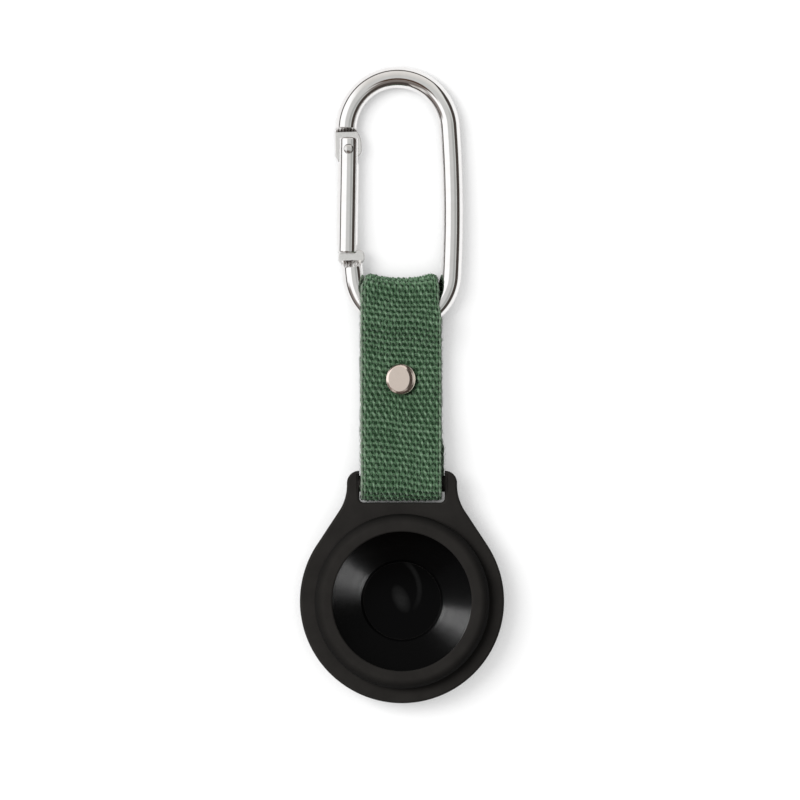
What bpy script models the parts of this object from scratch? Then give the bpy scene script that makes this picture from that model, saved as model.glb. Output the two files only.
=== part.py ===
"""Tracker clip: a soft holder for a coin-type tracker, on a riveted webbing strap with a wire carabiner.

The clip lies on its back. +X is to its right, +Y runs from the holder to the carabiner and +Z is its front.
Lengths are in metres and angles in degrees. Each group of moving pieces hangs on an empty at its own hinge.
"""

import math

import bmesh
import bpy
from mathutils import Vector

# Tracker that the pocket holds
TRACKER_RADIUS = 0.01595
TRACKER_THICKNESS = 0.0080
TRACKER_CLEARANCE = 0.0001

# Holder, turned about the middle of its pocket
RING_WALL = 0.00115
RING_ROUND = 0.0019
BACK_WALL = 0.0013
LIP_WALL = 0.0012
LIP_OVERHANG = 0.00235
LIP_EDGE_ROUND = 0.0003
FLOOR_DISC_RADIUS = 0.0081
FLOOR_DISC_EDGE = 0.0005
FLOOR_DISH_SAG = 0.0003
FLOOR_DISH_SHARES = (1.0, 0.75, 0.5, 0.25, 0.0)
FLOOR_STEP = 0.0004
FLOOR_CONE_ANGLE = 12.0
FLANGE_WIDTH = 0.0029
PLATE_THICKNESS = 0.0034
PLATE_EDGE_ROUND = 0.0005

# Lug, slot and bar that carry the strap
SLOT_SETBACK = 0.0022
SLOT_CORNER = 0.0009
SLOT_MOUTH_ROUND = 0.0003
STRAP_SIDE_CLEARANCE = 0.0004
STRAP_SWING_CLEARANCE = 0.0005
BAR_RADIUS = 0.0016
EAR_WIDTH = 0.00245
EAR_REACH = 0.00255
EAR_CORNER = 0.0025
SHOULDER_FILLET = 0.0093
SHOULDER_ANGLE = 33.4

# Webbing strap
STRAP_WIDTH = 0.0160
STRAP_THICKNESS = 0.0013
LOOP_CLEARANCE = 0.0003
LAYER_GAP = 0.00015
RIVET_REACH = 0.0205
LAP_HALF = 0.0042
INNER_END_REACH = 0.0058
RIVET_TO_WIRE = 0.01138
LAP_BEND_SHARE = 0.945
FOLD_REACH = 0.00504
FOLD_SAG = 0.0013
FOLD_SIDE_CLEARANCE = 0.00042
FOLD_CORNER_DROP = 0.0005
FOLD_CORNER_SHARE = 0.84

# Double-cap rivet
CAP_RADIUS = 0.0029
CAP_HEIGHT = 0.0013
CAP_SHELL = 0.0003
CAP_CURL = 0.0004
CAP_MOUTH_RADIUS = 0.0017
CAP_SEAT_GAP = 0.00015
CAP_INNER_GAP = 0.00012
RIVET_FLANGE_RADIUS = 0.0020
RIVET_FLANGE_THICKNESS = 0.00028
POST_RADIUS = 0.0009
POST_BORE = 0.0005
SOCKET_WALL = 0.0003
SOCKET_GAP = 0.00015
STRAP_HOLE_GAP = 0.0002

# Carabiner frame
WIRE_RADIUS = 0.0021
BOTTOM_BEND_RADIUS = 0.00962
TOP_BEND_RADIUS = 0.01017
BEND_DISTANCE = 0.02828
SIDE_BOW_RADIUS = 0.235
CARABINER_LEAN = 1.7
TONGUE_THICKNESS = 0.0015
TONGUE_HOLE_GAP = 0.0001
HINGE_SHOULDER = 0.0008
NOSE_SHOULDER = 0.0015
NECK_SHARE = 0.33

# Hinge tongue, measured from the pin
PIN_DROP = 0.00356
PIN_INSET = 0.00039
TONGUE_REACH = 0.0035
TONGUE_OUTER_REACH = 0.0027
TONGUE_INNER_REACH = 0.0026
TONGUE_BULGE_RADIUS = 0.00375
TONGUE_BULGE_RISE = 0.0011
TONGUE_TOP_INNER = 0.0017
TONGUE_ROOT_INSET = 0.0003
EAR_STOP_REACH = 0.0024
EAR_STOP_CHAMFER = 0.0006
CAM_RADIUS = 0.00155
CAM_DROP = 0.0002

# Nose tongue, measured from the middle of the bottom bend
NOSE_REACH = 0.00485
NOSE_FLAT_REACH = 0.0029
NOSE_HALF_WIDTH = 0.0026
NOSE_CORNER = 0.0011
NOSE_ENGAGEMENT = 0.00063

# Gate and what is inside it
GATE_LEAN = 2.0
GATE_TOP = 0.00235
GATE_EDGE_ROUND = 0.0004
GATE_BORE_RADIUS = 0.0015
GATE_BORE_DEPTH = 0.0125
GATE_SLOT_GAP = 0.0003
HINGE_SLOT_DEPTH = 0.0028
NOSE_SLOT_DEPTH = 0.0016
PIN_RADIUS = 0.00092
PIN_HOLE_GAP = 0.0001
PIN_PROUD = 0.0001
PIN_DOME = 0.00025
PIN_DOME_SHARES = (0.0, 0.5, 0.8, 1.0)
PLUNGER_GAP = 0.0003
PLUNGER_SIDE_GAP = 0.0002
PLUNGER_HEAD = 0.0009
PLUNGER_STEM_RADIUS = 0.0006
PLUNGER_STEM_LENGTH = 0.0018
SPRING_WIRE_RADIUS = 0.00018
SPRING_SIDE_GAP = 0.00024
SPRING_SEAT_GAP = 0.0003
SPRING_TURNS = 10

# Making of the shapes
OVERRUN = 0.002
WELD = 0.00001
RING_SEGMENTS = 72
SMALL_SEGMENTS = 32
BEND_STEP = 7.5
STRAP_BEND_STEP = 15.0
STRAP_RUN_STEP = 0.0025
STRAP_COLUMNS = 10
SPRING_TURN_POINTS = 9
LEAST_SPRING_GAP = 0.0004
FLAT_ANGLE = 0.1
SHARP_ANGLE = 50.0

# Sizes that follow from those above
POCKET_RADIUS = TRACKER_RADIUS + TRACKER_CLEARANCE
POCKET_HEIGHT = TRACKER_THICKNESS + TRACKER_CLEARANCE
HOLDER_HEIGHT = BACK_WALL + POCKET_HEIGHT + LIP_WALL
HOLDER_MIDDLE = HOLDER_HEIGHT / 2
RING_RADIUS = POCKET_RADIUS + RING_WALL
OPENING_RADIUS = POCKET_RADIUS - LIP_OVERHANG
FLANGE_RADIUS = RING_RADIUS + FLANGE_WIDTH
SLOT_EDGE = RING_RADIUS + SLOT_SETBACK
SLOT_HALF_WIDTH = STRAP_WIDTH / 2 + STRAP_SIDE_CLEARANCE
LUG_HALF_WIDTH = SLOT_HALF_WIDTH + EAR_WIDTH
BAR_WRAP_RADIUS = BAR_RADIUS + LOOP_CLEARANCE + STRAP_THICKNESS / 2
BAR_REACH = SLOT_EDGE + STRAP_SWING_CLEARANCE + BAR_WRAP_RADIUS + STRAP_THICKNESS / 2
LUG_REACH = BAR_REACH + EAR_REACH
WIRE_WRAP_RADIUS = WIRE_RADIUS + LOOP_CLEARANCE + STRAP_THICKNESS / 2
WIRE_LOOP_HALF = WIRE_WRAP_RADIUS + STRAP_THICKNESS / 2
SWING_DROP = math.sqrt(BOTTOM_BEND_RADIUS ** 2 - (STRAP_WIDTH / 2) ** 2)
WIRE_MIDDLE = RIVET_REACH + RIVET_TO_WIRE
WIRE_REACH = WIRE_MIDDLE + BOTTOM_BEND_RADIUS - SWING_DROP
FOLD_CENTRE = WIRE_REACH + FOLD_REACH - WIRE_LOOP_HALF
FOLD_RISE = FOLD_REACH - SWING_DROP
BOTTOM_BEND_INSIDE = BOTTOM_BEND_RADIUS - WIRE_RADIUS
FOLD_HALF_WIDTH = math.sqrt(BOTTOM_BEND_INSIDE ** 2 - FOLD_RISE ** 2) - FOLD_SIDE_CLEARANCE
LAYER_PITCH = STRAP_THICKNESS + LAYER_GAP
LAP_ROOM = LAP_BEND_SHARE * (RIVET_TO_WIRE - LAP_HALF)
GATE_LENGTH = (BEND_DISTANCE - PIN_DROP - NOSE_REACH + NOSE_ENGAGEMENT) / math.cos(math.radians(GATE_LEAN))


def easy_bend(room, wrap, layer):
    """Radius of the bend that lifts webbing from a layer over a wrapped wire, in the room before it."""
    return (room ** 2 - wrap ** 2 + layer ** 2) / (2 * (wrap - layer))


def resting_slope(reach, height, start_height):
    """Angle by which a piece of a half height slopes down from its start until it touches the table."""
    return math.asin(start_height / math.hypot(reach, height)) - math.atan2(height, reach)


LAP_BEND = easy_bend(LAP_ROOM, WIRE_WRAP_RADIUS, LAYER_PITCH / 2)
STRAP_SLOPE = resting_slope(FOLD_CENTRE, WIRE_LOOP_HALF, HOLDER_MIDDLE)
SWING_HEIGHT = HOLDER_MIDDLE - WIRE_REACH * math.sin(STRAP_SLOPE)
CARABINER_REACH = SWING_DROP + BEND_DISTANCE * math.cos(math.radians(CARABINER_LEAN)) + TOP_BEND_RADIUS
CARABINER_SLOPE = math.asin((SWING_HEIGHT - WIRE_RADIUS) / CARABINER_REACH)
CLIP_REACH = (
    BAR_REACH
    + WIRE_REACH * math.cos(STRAP_SLOPE)
    + CARABINER_REACH * math.cos(CARABINER_SLOPE)
    + WIRE_RADIUS
)
HOLDER_PLACE = (FLANGE_RADIUS - CLIP_REACH) / 2


# Scene and materials

def clear_scene():
    """Empties the scene of what a new file holds."""
    for obj in list(bpy.data.objects):
        bpy.data.objects.remove(obj, do_unlink=True)


def new_collection(name):
    """Adds a collection to the scene."""
    collection = bpy.data.collections.new(name)
    bpy.context.scene.collection.children.link(collection)
    return collection


def new_material(name, colour, roughness, metallic):
    """Makes a Principled material."""
    material = bpy.data.materials.new(name)
    material.use_nodes = True
    shader = material.node_tree.nodes["Principled BSDF"]
    shader.inputs["Base Color"].default_value = (*colour, 1.0)
    shader.inputs["Roughness"].default_value = roughness
    shader.inputs["Metallic"].default_value = metallic
    return material


def new_empty(name, location, parent=None):
    """Adds an empty that carries the pieces of one moving group."""
    empty = bpy.data.objects.new(name, None)
    empty.location = location
    empty.rotation_mode = "ZYX"
    empty.parent = parent
    PARTS.objects.link(empty)
    return empty


def add_object(name, mesh, parent, location=(0, 0, 0), rotation=(0, 0, 0)):
    """Puts a mesh into the clip as one named piece."""
    obj = bpy.data.objects.new(name, mesh)
    obj.location = location
    obj.rotation_euler = rotation
    obj.parent = parent
    PARTS.objects.link(obj)
    return obj


def make_tool(obj):
    """Keeps a shape as a tool for Boolean modifiers."""
    PARTS.objects.unlink(obj)
    TOOLS.objects.link(obj)
    obj.hide_render = True
    obj.display_type = "WIRE"
    return obj


def combine(obj, tool, operation):
    """Adds a Boolean modifier with one tool to a piece."""
    modifier = obj.modifiers.new(tool.name, "BOOLEAN")
    modifier.operation = operation
    modifier.object = make_tool(tool)


def finish(obj, material):
    """Gives a piece its material and smooth shading."""
    obj.data.materials.clear()
    obj.data.materials.append(material)
    obj.data.shade_smooth()
    return obj


# Shapes

def arc(centre, radius, start, end, steps):
    """Points along an arc, both ends included, with angles in radians."""
    angles = [start + (end - start) * step / steps for step in range(steps + 1)]
    return [(centre[0] + radius * math.cos(a), centre[1] + radius * math.sin(a)) for a in angles]


def arc_steps(start, end, step=BEND_STEP):
    """Number of straight pieces that an arc in radians is drawn with."""
    return max(1, round(abs(math.degrees(end - start)) / step))


def turned(name, profile, parent, location=(0, 0, 0), rotation=(0, 0, 0), segments=SMALL_SEGMENTS):
    """A solid of revolution about its own Z, from a profile of radius and height down its outside."""
    mesh = bpy.data.meshes.new(name)
    edges = [(i, i + 1) for i in range(len(profile) - 1)]
    mesh.from_pydata([(radius, 0, height) for radius, height in profile], edges, [])
    obj = add_object(name, mesh, parent, location, rotation)
    screw = obj.modifiers.new("Turn", "SCREW")
    screw.steps = segments
    screw.render_steps = segments
    screw.use_merge_vertices = True
    screw.merge_threshold = WELD
    return obj


def mesh_from_curve(curve):
    """Mesh of a curve, with its caps welded on and its flat faces whole."""
    guide = bpy.data.objects.new(curve.name, curve)
    PARTS.objects.link(guide)
    graph = bpy.context.evaluated_depsgraph_get()
    mesh = bpy.data.meshes.new_from_object(guide.evaluated_get(graph))
    bpy.data.objects.remove(guide, do_unlink=True)
    shape = bmesh.new()
    shape.from_mesh(mesh)
    bmesh.ops.remove_doubles(shape, verts=shape.verts, dist=WELD)
    flat = math.radians(FLAT_ANGLE)
    bmesh.ops.dissolve_limit(shape, angle_limit=flat, verts=shape.verts, edges=shape.edges)
    bmesh.ops.recalc_face_normals(shape, faces=shape.faces)
    shape.to_mesh(mesh)
    shape.free()
    return mesh


def add_points(curve, points, closed, radii=None):
    """Adds one straight-sided spline to a curve."""
    spline = curve.splines.new("POLY")
    spline.points.add(len(points) - 1)
    for index, point in enumerate(points):
        spline.points[index].co = Vector(point).to_3d().to_4d()
        spline.points[index].radius = radii[index] if radii else 1
    spline.use_cyclic_u = closed


def plate(name, outline, thickness, parent, location=(0, 0, 0), rotation=(0, 0, 0)):
    """A flat plate with the given outline, centred on its own XY plane."""
    curve = bpy.data.curves.new(name, "CURVE")
    curve.dimensions = "2D"
    curve.fill_mode = "BOTH"
    curve.extrude = thickness / 2
    add_points(curve, outline, closed=True)
    return add_object(name, mesh_from_curve(curve), parent, location, rotation)


def tube(name, points, radius, parent, resolution, radii=None, location=(0, 0, 0), rotation=(0, 0, 0)):
    """A round wire along a list of points, closed at both ends."""
    curve = bpy.data.curves.new(name, "CURVE")
    curve.dimensions = "3D"
    curve.bevel_depth = radius
    curve.bevel_resolution = resolution
    curve.use_fill_caps = True
    add_points(curve, points, closed=False, radii=radii)
    return add_object(name, mesh_from_curve(curve), parent, location, rotation)


def cylinder(name, radius, length, parent, location=(0, 0, 0), rotation=(0, 0, 0)):
    """A plain cylinder along its own Z, centred on its origin."""
    shape = bmesh.new()
    bmesh.ops.create_cone(
        shape, cap_ends=True, segments=SMALL_SEGMENTS, radius1=radius, radius2=radius, depth=length
    )
    mesh = bpy.data.meshes.new(name)
    shape.to_mesh(mesh)
    shape.free()
    return add_object(name, mesh, parent, location, rotation)


def block(name, size, parent, location=(0, 0, 0)):
    """A box of three side lengths, centred on its origin."""
    shape = bmesh.new()
    bmesh.ops.create_cube(shape, size=1)
    bmesh.ops.scale(shape, vec=size, verts=shape.verts)
    mesh = bpy.data.meshes.new(name)
    shape.to_mesh(mesh)
    shape.free()
    return add_object(name, mesh, parent, location)


def bevel(obj, width, segments):
    """Rounds the sharp edges of a piece."""
    modifier = obj.modifiers.new("Edges", "BEVEL")
    modifier.width = width
    modifier.segments = segments
    modifier.limit_method = "ANGLE"
    modifier.angle_limit = math.radians(SHARP_ANGLE)


# Tracker holder

def ring_profile():
    """Outside of the raised ring and the back, from the middle of the front to the middle of the back."""
    crown = RING_RADIUS - RING_ROUND
    front = arc((crown, HOLDER_HEIGHT - RING_ROUND), RING_ROUND, math.radians(90), 0, 6)
    back = arc((crown, RING_ROUND), RING_ROUND, 0, math.radians(-90), 6)
    return [(0, HOLDER_HEIGHT), *front, *back, (0, 0)]


def pocket_profile():
    """Pocket of the tracker, from the front opening down to the dished disc of its floor."""
    lip = HOLDER_HEIGHT - LIP_WALL
    mouth = (OPENING_RADIUS + LIP_EDGE_ROUND, HOLDER_HEIGHT - LIP_EDGE_ROUND)
    edge = arc(mouth, LIP_EDGE_ROUND, math.radians(90), math.radians(180), 3)
    disc_edge = FLOOR_DISC_RADIUS - FLOOR_DISC_EDGE
    cone_start = BACK_WALL + FLOOR_DISH_SAG + FLOOR_STEP
    cone_end = cone_start + (POCKET_RADIUS - FLOOR_DISC_RADIUS) * math.tan(math.radians(FLOOR_CONE_ANGLE))
    dish = [(disc_edge * share, BACK_WALL + FLOOR_DISH_SAG * share ** 2) for share in FLOOR_DISH_SHARES]
    return [
        (0, HOLDER_HEIGHT + OVERRUN),
        (mouth[0], HOLDER_HEIGHT + OVERRUN),
        *edge,
        (OPENING_RADIUS, lip),
        (POCKET_RADIUS, lip),
        (POCKET_RADIUS, cone_end),
        (FLOOR_DISC_RADIUS, cone_start),
        *dish,
    ]


def lug_outline():
    """Outline of the flange and its lug: the flange circle, two hollow shoulders and two rounded ears."""
    touch = math.radians(SHOULDER_ANGLE)
    fillet_x = LUG_HALF_WIDTH + SHOULDER_FILLET
    fillet_y = (FLANGE_RADIUS + SHOULDER_FILLET - fillet_x * math.cos(touch)) / math.sin(touch)
    shoulder = arc((fillet_x, fillet_y), SHOULDER_FILLET, math.pi + touch, math.pi, 8)
    corner = (LUG_HALF_WIDTH - EAR_CORNER, LUG_REACH - EAR_CORNER)
    ear = arc(corner, EAR_CORNER, 0, math.radians(90), 8)
    right = shoulder + ear
    left = [(-x, y) for x, y in reversed(right)]
    flange = arc((0, 0), FLANGE_RADIUS, math.pi - touch, 2 * math.pi + touch, RING_SEGMENTS)
    return right + left + flange


def slot_outline(spread):
    """Outline of the slot between the ears, open at the top, widened on all sides by the spread."""
    half = SLOT_HALF_WIDTH + spread
    base = SLOT_EDGE - spread
    corner = SLOT_CORNER + spread
    right = arc((half - corner, base + corner), corner, math.radians(-90), 0, 4)
    top = LUG_REACH + OVERRUN
    left = [(-x, y) for x, y in reversed(right)]
    return [*right, (half, top), (-half, top), *left]


def slot_tools(parent):
    """Cutters for the slot: one right through the plate, and a wider mouth at the front and at the back."""
    height = OVERRUN + SLOT_MOUTH_ROUND
    rise = PLATE_THICKNESS / 2 - SLOT_MOUTH_ROUND + height / 2
    mouth = slot_outline(SLOT_MOUTH_ROUND)
    return [
        plate("slot_mouth_front", mouth, height, parent, (0, 0, HOLDER_MIDDLE + rise)),
        plate("slot_mouth_back", mouth, height, parent, (0, 0, HOLDER_MIDDLE - rise)),
        plate("slot_cut", slot_outline(0), PLATE_THICKNESS + 2 * OVERRUN, parent, (0, 0, HOLDER_MIDDLE)),
    ]


def build_holder(root, rubber):
    """The one-piece holder: raised ring, flange, lug with its bar, and the pocket."""
    holder = turned("tag_holder", ring_profile(), root, segments=RING_SEGMENTS)
    middle = (0, 0, HOLDER_MIDDLE)
    flange = plate("flange_plate", lug_outline(), PLATE_THICKNESS, root, middle)
    bevel(flange, PLATE_EDGE_ROUND, 3)
    combine(holder, flange, "UNION")
    for tool in slot_tools(root):
        combine(holder, tool, "DIFFERENCE")
    bar_length = 2 * SLOT_HALF_WIDTH + EAR_WIDTH
    bar_place = (0, BAR_REACH, HOLDER_MIDDLE)
    bar = cylinder("strap_bar", BAR_RADIUS, bar_length, root, bar_place, (0, math.radians(90), 0))
    combine(holder, bar, "UNION")
    pocket = turned("pocket_cut", pocket_profile(), root, segments=RING_SEGMENTS)
    combine(holder, pocket, "DIFFERENCE")
    finish(holder, rubber)


# Webbing strap

def belt(circles):
    """Points of a band that runs past circles of (y, z, radius): a left turn has a radius over zero."""
    headings = []
    for first, second in zip(circles, circles[1:]):
        away = Vector((second[0] - first[0], second[1] - first[1]))
        lean = math.asin((second[2] - first[2]) / away.length)
        headings.append(math.atan2(away.y, away.x) - lean)
    points = []
    for index, (y, z, radius) in enumerate(circles):
        start = headings[max(index - 1, 0)]
        end = headings[min(index, len(headings) - 1)]
        turn = (end - start + math.pi) % (2 * math.pi) - math.pi
        if radius < 0 < turn:
            turn -= 2 * math.pi
        if radius > 0 > turn:
            turn += 2 * math.pi
        steps = arc_steps(0, turn, STRAP_BEND_STEP) if radius else 0
        for step in range(steps + 1):
            heading = start + turn * step / max(steps, 1)
            points.append(Vector((y + radius * math.sin(heading), z - radius * math.cos(heading))))
    return points


def with_runs(points, longest):
    """Adds points along the straight runs, so that none is longer than given."""
    filled = [points[0]]
    for first, second in zip(points, points[1:]):
        pieces = max(1, math.ceil((second - first).length / longest))
        filled += [first.lerp(second, piece / pieces) for piece in range(1, pieces + 1)]
    return filled


def strap_path():
    """Middle line of the webbing: from its inner end round the bar, up the front, round the wire and back."""
    near_layer = LAYER_PITCH / 2
    outer_layer = LAYER_PITCH * 3 / 2
    lap_start = RIVET_REACH - LAP_HALF
    lap_end = RIVET_REACH + LAP_HALF
    circles = [
        (RIVET_REACH + INNER_END_REACH, -near_layer, 0),
        (lap_start, -near_layer - LAP_BEND, LAP_BEND),
        (0, 0, -BAR_WRAP_RADIUS),
        (lap_start, near_layer + LAP_BEND, LAP_BEND),
        (lap_end, near_layer + LAP_BEND, LAP_BEND),
        (WIRE_MIDDLE, 0, -WIRE_WRAP_RADIUS),
        (FOLD_CENTRE, 0, -WIRE_WRAP_RADIUS),
        (WIRE_MIDDLE, 0, -WIRE_WRAP_RADIUS),
        (lap_end, -outer_layer - LAP_BEND, LAP_BEND),
        (lap_start, -outer_layer, 0),
    ]
    return with_runs(belt(circles), STRAP_RUN_STEP)


def webbing_point(across, y, z):
    """Place on the webbing for a share across its width, drawn in and sagging at the fold over the wire."""
    rise = min(max((y - WIRE_MIDDLE) / (FOLD_CENTRE - WIRE_MIDDLE), 0), 1)
    fold = rise * rise * (3 - 2 * rise)
    half_width = STRAP_WIDTH / 2 + (FOLD_HALF_WIDTH - STRAP_WIDTH / 2) * fold
    inner = min(abs(across) / FOLD_CORNER_SHARE, 1)
    outer = max((abs(across) - FOLD_CORNER_SHARE) / (1 - FOLD_CORNER_SHARE), 0)
    shift = FOLD_SAG * (inner ** 2 - 1) - FOLD_CORNER_DROP * outer ** 2
    return across * half_width, y + shift * fold, z


def build_strap(hinge, webbing):
    """One strip of webbing, looped at both ends and lapped behind the rivet."""
    path = strap_path()
    shape = bmesh.new()
    bmesh.ops.create_grid(shape, x_segments=STRAP_COLUMNS, y_segments=len(path) - 1, size=1)
    for vertex in shape.verts:
        y, z = path[round((vertex.co.y + 1) / 2 * (len(path) - 1))]
        vertex.co = webbing_point(vertex.co.x, y, z)
    mesh = bpy.data.meshes.new("strap")
    shape.to_mesh(mesh)
    shape.free()
    strap = add_object("strap", mesh, hinge)
    skin = strap.modifiers.new("Thickness", "SOLIDIFY")
    skin.thickness = STRAP_THICKNESS
    skin.offset = 0
    hole_radius = POST_RADIUS + SOCKET_GAP + SOCKET_WALL + STRAP_HOLE_GAP
    hole = cylinder("rivet_hole", hole_radius, LAYER_PITCH * 4 + OVERRUN, hinge, (0, RIVET_REACH, 0))
    combine(strap, hole, "DIFFERENCE")
    finish(strap, webbing)


# Rivet

def cap_profile():
    """Domed cap as a thin shell, open below, with its rim curled under a flange."""
    top = CAP_HEIGHT
    inner = CAP_RADIUS - CAP_SHELL
    outside = arc((CAP_RADIUS - top, 0), top, math.radians(90), 0, 6)
    outside = [(x, CAP_CURL + y * (top - CAP_CURL) / top) for x, y in outside]
    inside = [(x * inner / CAP_RADIUS, y - CAP_SHELL) for x, y in reversed(outside)]
    rim = [(CAP_RADIUS, CAP_CURL / 2), (CAP_RADIUS - CAP_CURL / 2, 0), (CAP_MOUTH_RADIUS, 0)]
    lip = [(CAP_MOUTH_RADIUS, CAP_SHELL), (inner, CAP_SHELL)]
    inside = [point for point in inside if point[1] > CAP_SHELL]
    return [(0, top), *outside, *rim, *lip, *inside, (0, top - CAP_SHELL)]


def flanged_tube_profile(outer, bore, length):
    """Flange on top and a tube below it, with a bore that is blind under the flange."""
    flange = RIVET_FLANGE_RADIUS
    top = CAP_SHELL + CAP_INNER_GAP + RIVET_FLANGE_THICKNESS
    under = top - RIVET_FLANGE_THICKNESS
    return [
        (0, top),
        (flange, top),
        (flange, under),
        (outer, under),
        (outer, top - length),
        (bore, top - length),
        (bore, under),
        (0, under),
    ]


def build_rivet(hinge, nickel):
    """Double-cap rivet: a post and a socket, each with its flange held in a domed cap."""
    front_seat = LAYER_PITCH / 2 + STRAP_THICKNESS / 2 + CAP_SEAT_GAP
    back_seat = -LAYER_PITCH * 3 / 2 - STRAP_THICKNESS / 2 - CAP_SEAT_GAP
    flange_top = CAP_SHELL + CAP_INNER_GAP + RIVET_FLANGE_THICKNESS
    stack = front_seat - back_seat
    socket_bore = POST_RADIUS + SOCKET_GAP
    post_length = stack + flange_top - CAP_SHELL - CAP_INNER_GAP - SOCKET_GAP
    socket_length = stack - CAP_INNER_GAP
    turn_over = (math.pi, 0, 0)
    front = (0, RIVET_REACH, front_seat)
    back = (0, RIVET_REACH, back_seat)
    post = flanged_tube_profile(POST_RADIUS, POST_BORE, post_length)
    socket = flanged_tube_profile(socket_bore + SOCKET_WALL, socket_bore, socket_length)
    finish(turned("rivet_front_cap", cap_profile(), hinge, front), nickel)
    finish(turned("rivet_post", post, hinge, front, segments=SMALL_SEGMENTS // 2), nickel)
    finish(turned("rivet_back_cap", cap_profile(), hinge, back, turn_over), nickel)
    finish(turned("rivet_socket", socket, hinge, back, turn_over, SMALL_SEGMENTS // 2), nickel)


# Carabiner frame

def side_bow():
    """Centre of the long arc that joins the two bends on the right side of the frame."""
    to_bottom = SIDE_BOW_RADIUS - BOTTOM_BEND_RADIUS
    to_top = SIDE_BOW_RADIUS - TOP_BEND_RADIUS
    y = (to_bottom ** 2 - to_top ** 2 + BEND_DISTANCE ** 2) / (2 * BEND_DISTANCE)
    return -math.sqrt(to_bottom ** 2 - y ** 2), y


def nose_side_x(height):
    """Distance out to the wire's middle on the gate side, at a height over the bottom bend."""
    x, y = side_bow()
    return -x - math.sqrt(SIDE_BOW_RADIUS ** 2 - (height - y) ** 2)


def wire_path():
    """Middle line of the round wire from the hinge tongue over the top bend and round to the nose."""
    bow_x, bow_y = side_bow()
    hinge_flat = BEND_DISTANCE - PIN_DROP + TONGUE_REACH
    full = math.pi - math.asin((hinge_flat + HINGE_SHOULDER - BEND_DISTANCE) / TOP_BEND_RADIUS)
    flat = math.pi - math.asin((hinge_flat - BEND_DISTANCE) / TOP_BEND_RADIUS)
    top_angle = math.atan2(BEND_DISTANCE - bow_y, -bow_x)
    low_angle = math.atan2(-bow_y, -bow_x)
    top_centre = (0, BEND_DISTANCE)
    start = arc(top_centre, TOP_BEND_RADIUS, flat, full, 1)[:1]
    top = arc(top_centre, TOP_BEND_RADIUS, full, top_angle, arc_steps(full, top_angle))
    side = arc((bow_x, bow_y), SIDE_BOW_RADIUS, top_angle, low_angle, 6)[1:-1]
    under = -math.pi - low_angle
    bottom = arc((0, 0), BOTTOM_BEND_RADIUS, low_angle, under, arc_steps(low_angle, under))
    nose = [(nose_side_x(NOSE_FLAT_REACH - NOSE_SHOULDER), NOSE_FLAT_REACH - NOSE_SHOULDER)]
    end = [(nose_side_x(NOSE_FLAT_REACH), NOSE_FLAT_REACH)]
    points = start + top + side + bottom + nose + end
    radii = [NECK_SHARE] + [1] * (len(points) - 2) + [NECK_SHARE]
    return [(x, y, 0) for x, y in points], radii


def hinge_tongue_outline():
    """Pressed tongue round the pin: a stop ear on the outer side and a cam on the inner side."""
    root = TONGUE_REACH + HINGE_SHOULDER
    ear_inner = -GATE_BORE_RADIUS - TONGUE_HOLE_GAP
    cam = (TONGUE_INNER_REACH - CAM_RADIUS, -CAM_DROP)
    bulge = (TONGUE_INNER_REACH - TONGUE_BULGE_RADIUS, TONGUE_BULGE_RISE)
    bulge_end = math.acos((TONGUE_TOP_INNER - bulge[0]) / TONGUE_BULGE_RADIUS)
    return [
        (-TONGUE_OUTER_REACH + TONGUE_ROOT_INSET, root),
        (-TONGUE_OUTER_REACH, TONGUE_REACH),
        (-TONGUE_OUTER_REACH, -EAR_STOP_REACH + 2 * EAR_STOP_CHAMFER),
        (-TONGUE_OUTER_REACH + EAR_STOP_CHAMFER, -EAR_STOP_REACH),
        (ear_inner, -EAR_STOP_REACH),
        (ear_inner, cam[1] - CAM_RADIUS),
        *arc(cam, CAM_RADIUS, math.radians(-90), 0, 8),
        *arc(bulge, TONGUE_BULGE_RADIUS, 0, bulge_end, 5),
        (TONGUE_TOP_INNER, root),
    ]


def nose_tongue_outline():
    """Pressed tongue at the nose, measured from where the wire's middle meets its flat."""
    top = NOSE_REACH - NOSE_FLAT_REACH
    corner = (NOSE_HALF_WIDTH - NOSE_CORNER, top - NOSE_CORNER)
    right = [
        (WIRE_RADIUS - GATE_EDGE_ROUND, -NOSE_SHOULDER),
        (NOSE_HALF_WIDTH, 0),
        *arc(corner, NOSE_CORNER, 0, math.radians(90), 5),
    ]
    return right + [(-x, y) for x, y in reversed(right)]


def build_frame(centre, chrome):
    """Bent wire with both ends pressed flat, and a hole for the pin."""
    points, radii = wire_path()
    frame = tube("carabiner_frame", points, WIRE_RADIUS, centre, 5, radii)
    pin = pin_place()
    hinge = plate("hinge_tongue", hinge_tongue_outline(), TONGUE_THICKNESS, centre, pin)
    combine(frame, hinge, "UNION")
    nose_place = (nose_side_x(NOSE_FLAT_REACH), NOSE_FLAT_REACH, 0)
    nose = plate("nose_tongue", nose_tongue_outline(), TONGUE_THICKNESS, centre, nose_place)
    combine(frame, nose, "UNION")
    hole_radius = PIN_RADIUS + TONGUE_HOLE_GAP
    hole = cylinder("tongue_hole", hole_radius, TONGUE_THICKNESS + OVERRUN, centre, pin)
    combine(frame, hole, "DIFFERENCE")
    finish(frame, chrome)


def pin_place():
    """Place of the gate's pin, measured from the middle of the bottom bend."""
    return PIN_INSET - TOP_BEND_RADIUS, BEND_DISTANCE - PIN_DROP, 0


# Gate

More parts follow.
